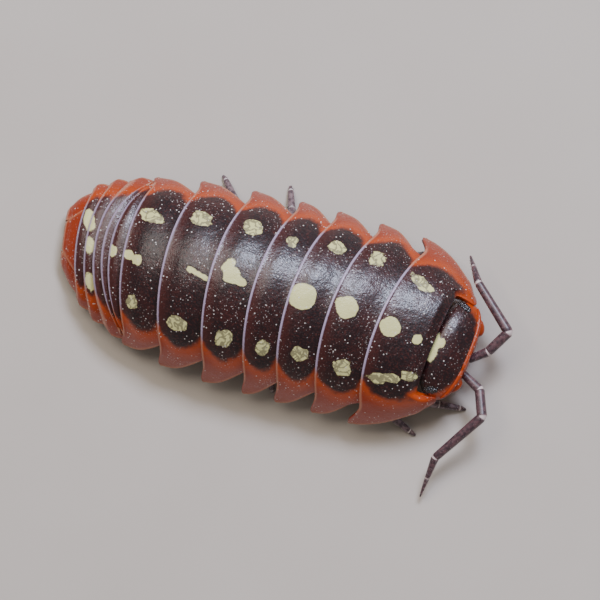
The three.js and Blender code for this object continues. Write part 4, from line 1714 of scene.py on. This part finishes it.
@dataclass
class Underside:
    """The soft trunk between the legs, swollen between the folds of its rings, and the gill covers behind.

    In millimetres. reach is the arch share that the trunk's back spans, belly the belly's height, and
    clear and tail_clear how deep the back lies under the envelope. ring is the length of a body ring,
    and fold the place of one of the folds between them.
    """

    rear: float = -6.6
    front: float = 6.55
    reach: float = 0.66
    belly: float = 1.42
    clear: float = 0.836
    tail_clear: float = 0.56
    ring: float = 1.9
    fold: float = 1.25
    swell: float = 0.14
    gill_rows: int = 4
    gill_front: float = -6.35
    gill_step: float = 0.42

    def belly_height(self, x: np.ndarray) -> np.ndarray:
        """Height of the belly at x, lower at the tail."""
        return np.interp(x, [-6.6, -5.8, self.front], [1.15, self.belly, self.belly])

    def trunk(self) -> Surface:
        """The trunk: an arch under the plates closed by a flat belly with swollen rings.

        A ring swells by the square root of a sine between its two folds.

        Returns:
            The trunk, with value "fold".
        """
        rows, steps = 260, 60
        x = np.linspace(self.rear, self.front, rows)[:, None]
        depth = self.tail_clear + (self.clear - self.tail_clear) * smooth((x + 7) / 0.6)
        arch = np.linspace(-self.reach, self.reach, steps)[None, :]
        x_grid, arch_grid = np.broadcast_arrays(x, arch)
        back = ENVELOPE.under(x_grid, arch_grid, np.broadcast_to(depth, x_grid.shape))
        floor = self.belly_height(x)
        back = np.stack([x_grid, back[..., 1], np.maximum(back[..., 2], floor + 0.12)], axis=-1)
        half = back[:, -1:, 1]
        across = np.cos(np.linspace(0, np.pi, steps))[None, :]
        ring = np.abs(np.sin(np.pi * (x - self.fold) / self.ring)) ** 0.5
        swell = self.swell * ring * (1 - across**4) - 0.06
        groove = 0.05 * np.exp(-((across / 0.06) ** 2))
        belly_z = floor - swell + groove + 0.05 * np.abs(across) ** 8
        belly = np.stack([np.broadcast_to(x, (rows, steps)), half * across * 0.98, belly_z], axis=-1)
        loops = np.concatenate([back, belly[:, 1:-1]], axis=1)
        # How near each point lies to a fold; the skin finish paints shade there.
        fold = np.concatenate([np.repeat((1 - ring).ravel(), loops.shape[1]), [0.0, 0.0]])
        straight = capped_rings(loops)
        return outward(Surface(bend(straight.points), straight.faces, {"fold": fold}))

    def gills(self) -> Surface:
        """Overlapping pairs of thin rounded flaps, each tilted down to the rear."""
        flaps = []
        for row in range(self.gill_rows):
            for side in Side:
                shrink = 1 - 0.1 * row
                outwards = np.sin(np.pi / 2 * np.linspace(0, 1, 28))
                radial, v = np.meshgrid(outwards, np.linspace(0, np.pi, 20), indexing="ij")
                x = self.gill_front - row * self.gill_step - 0.42 * radial * np.cos(2 * v)
                y = side.value * (0.5 * shrink + 0.56 * shrink * radial * np.sin(2 * v))
                z = 0.76 - 0.05 * row - 0.06 * radial * np.cos(2 * v) + 0.05 * radial**2
                top = np.stack([x, y, z + 0.03 + 0.05 * (1 - radial**2)], axis=-1)
                under = np.stack([x, y, z - 0.02 - 0.03 * (1 - radial**2)], axis=-1)
                flaps.append(flap(top, under))
        return join_all(flaps)

    def build(self, finishes: Finishes) -> None:
        """Writes and dresses the trunk and the gill covers.

        Args:
            finishes: the animal's materials.
        """
        dress(write_mesh("trunk_skin", self.trunk(), ["trunk"]), finishes.skin)
        dress(write_mesh("gill_flaps", self.gills(), ["gill_covers"]), finishes.gills)


def flap(top: np.ndarray, under: np.ndarray) -> Surface:
    """A closed flap from two discs, joined round their outer rings.

    Args:
        top: array (rings, turns, 3), whose first ring is one point and whose last turn repeats the first.
        under: the same, below it.
    Returns:
        The bent flap.
    """
    rings, turns = top.shape[0] - 1, top.shape[1] - 1
    parts = [np.concatenate([disc[0:1, 0], disc[1:, :-1].reshape(-1, 3)]) for disc in (top, under)]
    size = len(parts[0])
    k = np.arange(turns)
    ahead = (k + 1) % turns
    fan = np.stack([np.zeros(turns, int), 1 + k, 1 + ahead, 1 + ahead], axis=1)
    body = grid_faces(rings, turns, wrap_columns=True) + 1
    base = 1 + (rings - 1) * turns
    face_top = np.concatenate([fan, body[:, [0, 3, 2, 1]]])
    flipped = np.concatenate([fan[:, [0, 2, 1, 1]], body]) + size
    wall = np.stack([base + k, base + k + size, base + ahead + size, base + ahead], axis=1)
    return outward(Surface(bend(np.concatenate(parts)), np.concatenate([face_top, flipped, wall])))


# The studio.


@dataclass
class Studio:
    """A pale floor, soft lights and a long-lens camera above and ahead of the animal.

    target is what the camera looks at, lean how far it stands aside for each millimetre up, view_mm the
    width that the picture shows there, distance its height above the target and sensor its film's
    width.
    """

    target: tuple = (0.55, 1.111, 0.0)
    lean: tuple = (0.164, -0.09)
    roll_degrees: float = 15.0
    view_mm: float = 24.54
    distance: float = 320.0
    sensor: float = 36.0
    floor_half: float = 400.0
    sky_strength: float = 0.24

    def camera(self) -> None:
        """Places the camera on the sight line and makes it the scene's own."""
        data = bpy.data.cameras.new("camera")
        data.sensor_width = self.sensor
        reach = float(np.linalg.norm([*self.lean, 1.0])) * self.distance
        data.lens = self.sensor * reach / self.view_mm
        data.clip_start = 10.0 * MM
        data.clip_end = 10000.0 * MM
        camera = bpy.data.objects.new("camera", data)
        back = Vector((self.lean[0], self.lean[1], 1.0))
        target = Vector(self.target)
        roll = np.radians(self.roll_degrees)
        up = Vector((-np.sin(roll), np.cos(roll), 0.0))
        depth = back.normalized()
        right = up.cross(depth).normalized()
        above = depth.cross(right)
        turned = Matrix((right, above, depth)).transposed().to_4x4()
        place = (target + back * self.distance) * MM
        camera.matrix_world = Matrix.Translation(place) @ turned
        bpy.context.scene.collection.objects.link(camera)
        bpy.context.scene.camera = camera

    def floor(self) -> None:
        """A wide pale matt floor under the feet."""
        half = self.floor_half * MM
        corners = [(-half, -half, 0.0), (half, -half, 0.0), (half, half, 0.0), (-half, half, 0.0)]
        mesh = bpy.data.meshes.new("floor")
        mesh.from_pydata(corners, [], [(0, 1, 2, 3)])
        floor = bpy.data.objects.new("floor", mesh)
        bpy.context.scene.collection.objects.link(floor)

        def paper(r: Recipe, shader: bpy.types.Node) -> None:
            """Very faint mottle, as on matt paper."""
            r.tree.links.new(r.mix(r.noise(6.0, 3.0), "#c6bcb1", "#cdc4ba"), shader.inputs["Base Color"])

        dress(floor, new_finish("matt_paper", paper, Roughness=0.9))

    def lamp(self, name: str, place: tuple, size: tuple, power: float, colour: str) -> None:
        """A rectangular soft light aimed at the animal's middle.

        Args:
            name: its name.
            place: its centre in millimetres.
            size: its two sides in millimetres.
            power: its power in watts.
            colour: its hex colour.
        """
        data = bpy.data.lights.new(name, "AREA")
        data.shape = "RECTANGLE"
        data.size, data.size_y = size[0] * MM, size[1] * MM
        data.energy = power
        data.color = linear(colour)[:3]
        lamp = bpy.data.objects.new(name, data)
        spot = Vector(place) * MM
        aim = Vector((0.0, 0.0, 2.0 * MM)) - spot
        lamp.matrix_world = Matrix.Translation(spot) @ aim.to_track_quat("-Z", "Y").to_matrix().to_4x4()
        bpy.context.scene.collection.objects.link(lamp)

    def world(self) -> None:
        """An even, slightly warm light from all round."""
        world = bpy.data.worlds.new("studio")
        world.use_nodes = True
        sky = world.node_tree.nodes["Background"]
        sky.inputs["Color"].default_value = linear("#efeae4")
        sky.inputs["Strength"].default_value = self.sky_strength
        bpy.context.scene.world = world

    def build(self) -> None:
        """Sets up the floor, lights, world and camera."""
        self.floor()
        self.lamp("key_softbox", (40.0, 120.0, 160.0), (70.0, 45.0), 0.46, "#dce5ff")
        self.lamp("top_softbox", (-60.0, 90.0, 240.0), (200.0, 160.0), 0.4, "#fff6ec")
        self.world()
        self.camera()


def main() -> None:
    """Builds the animal and the studio, and reports each piece."""
    logging.basicConfig(level=logging.INFO, format="%(message)s")
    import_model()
    finishes = Finishes.make()
    Shell().build(finishes)
    Head().build(finishes)
    Feelers().build(finishes)
    Legs().build(finishes)
    Underside().build(finishes)
    Studio().build()


if __name__ == "__main__":
    main()
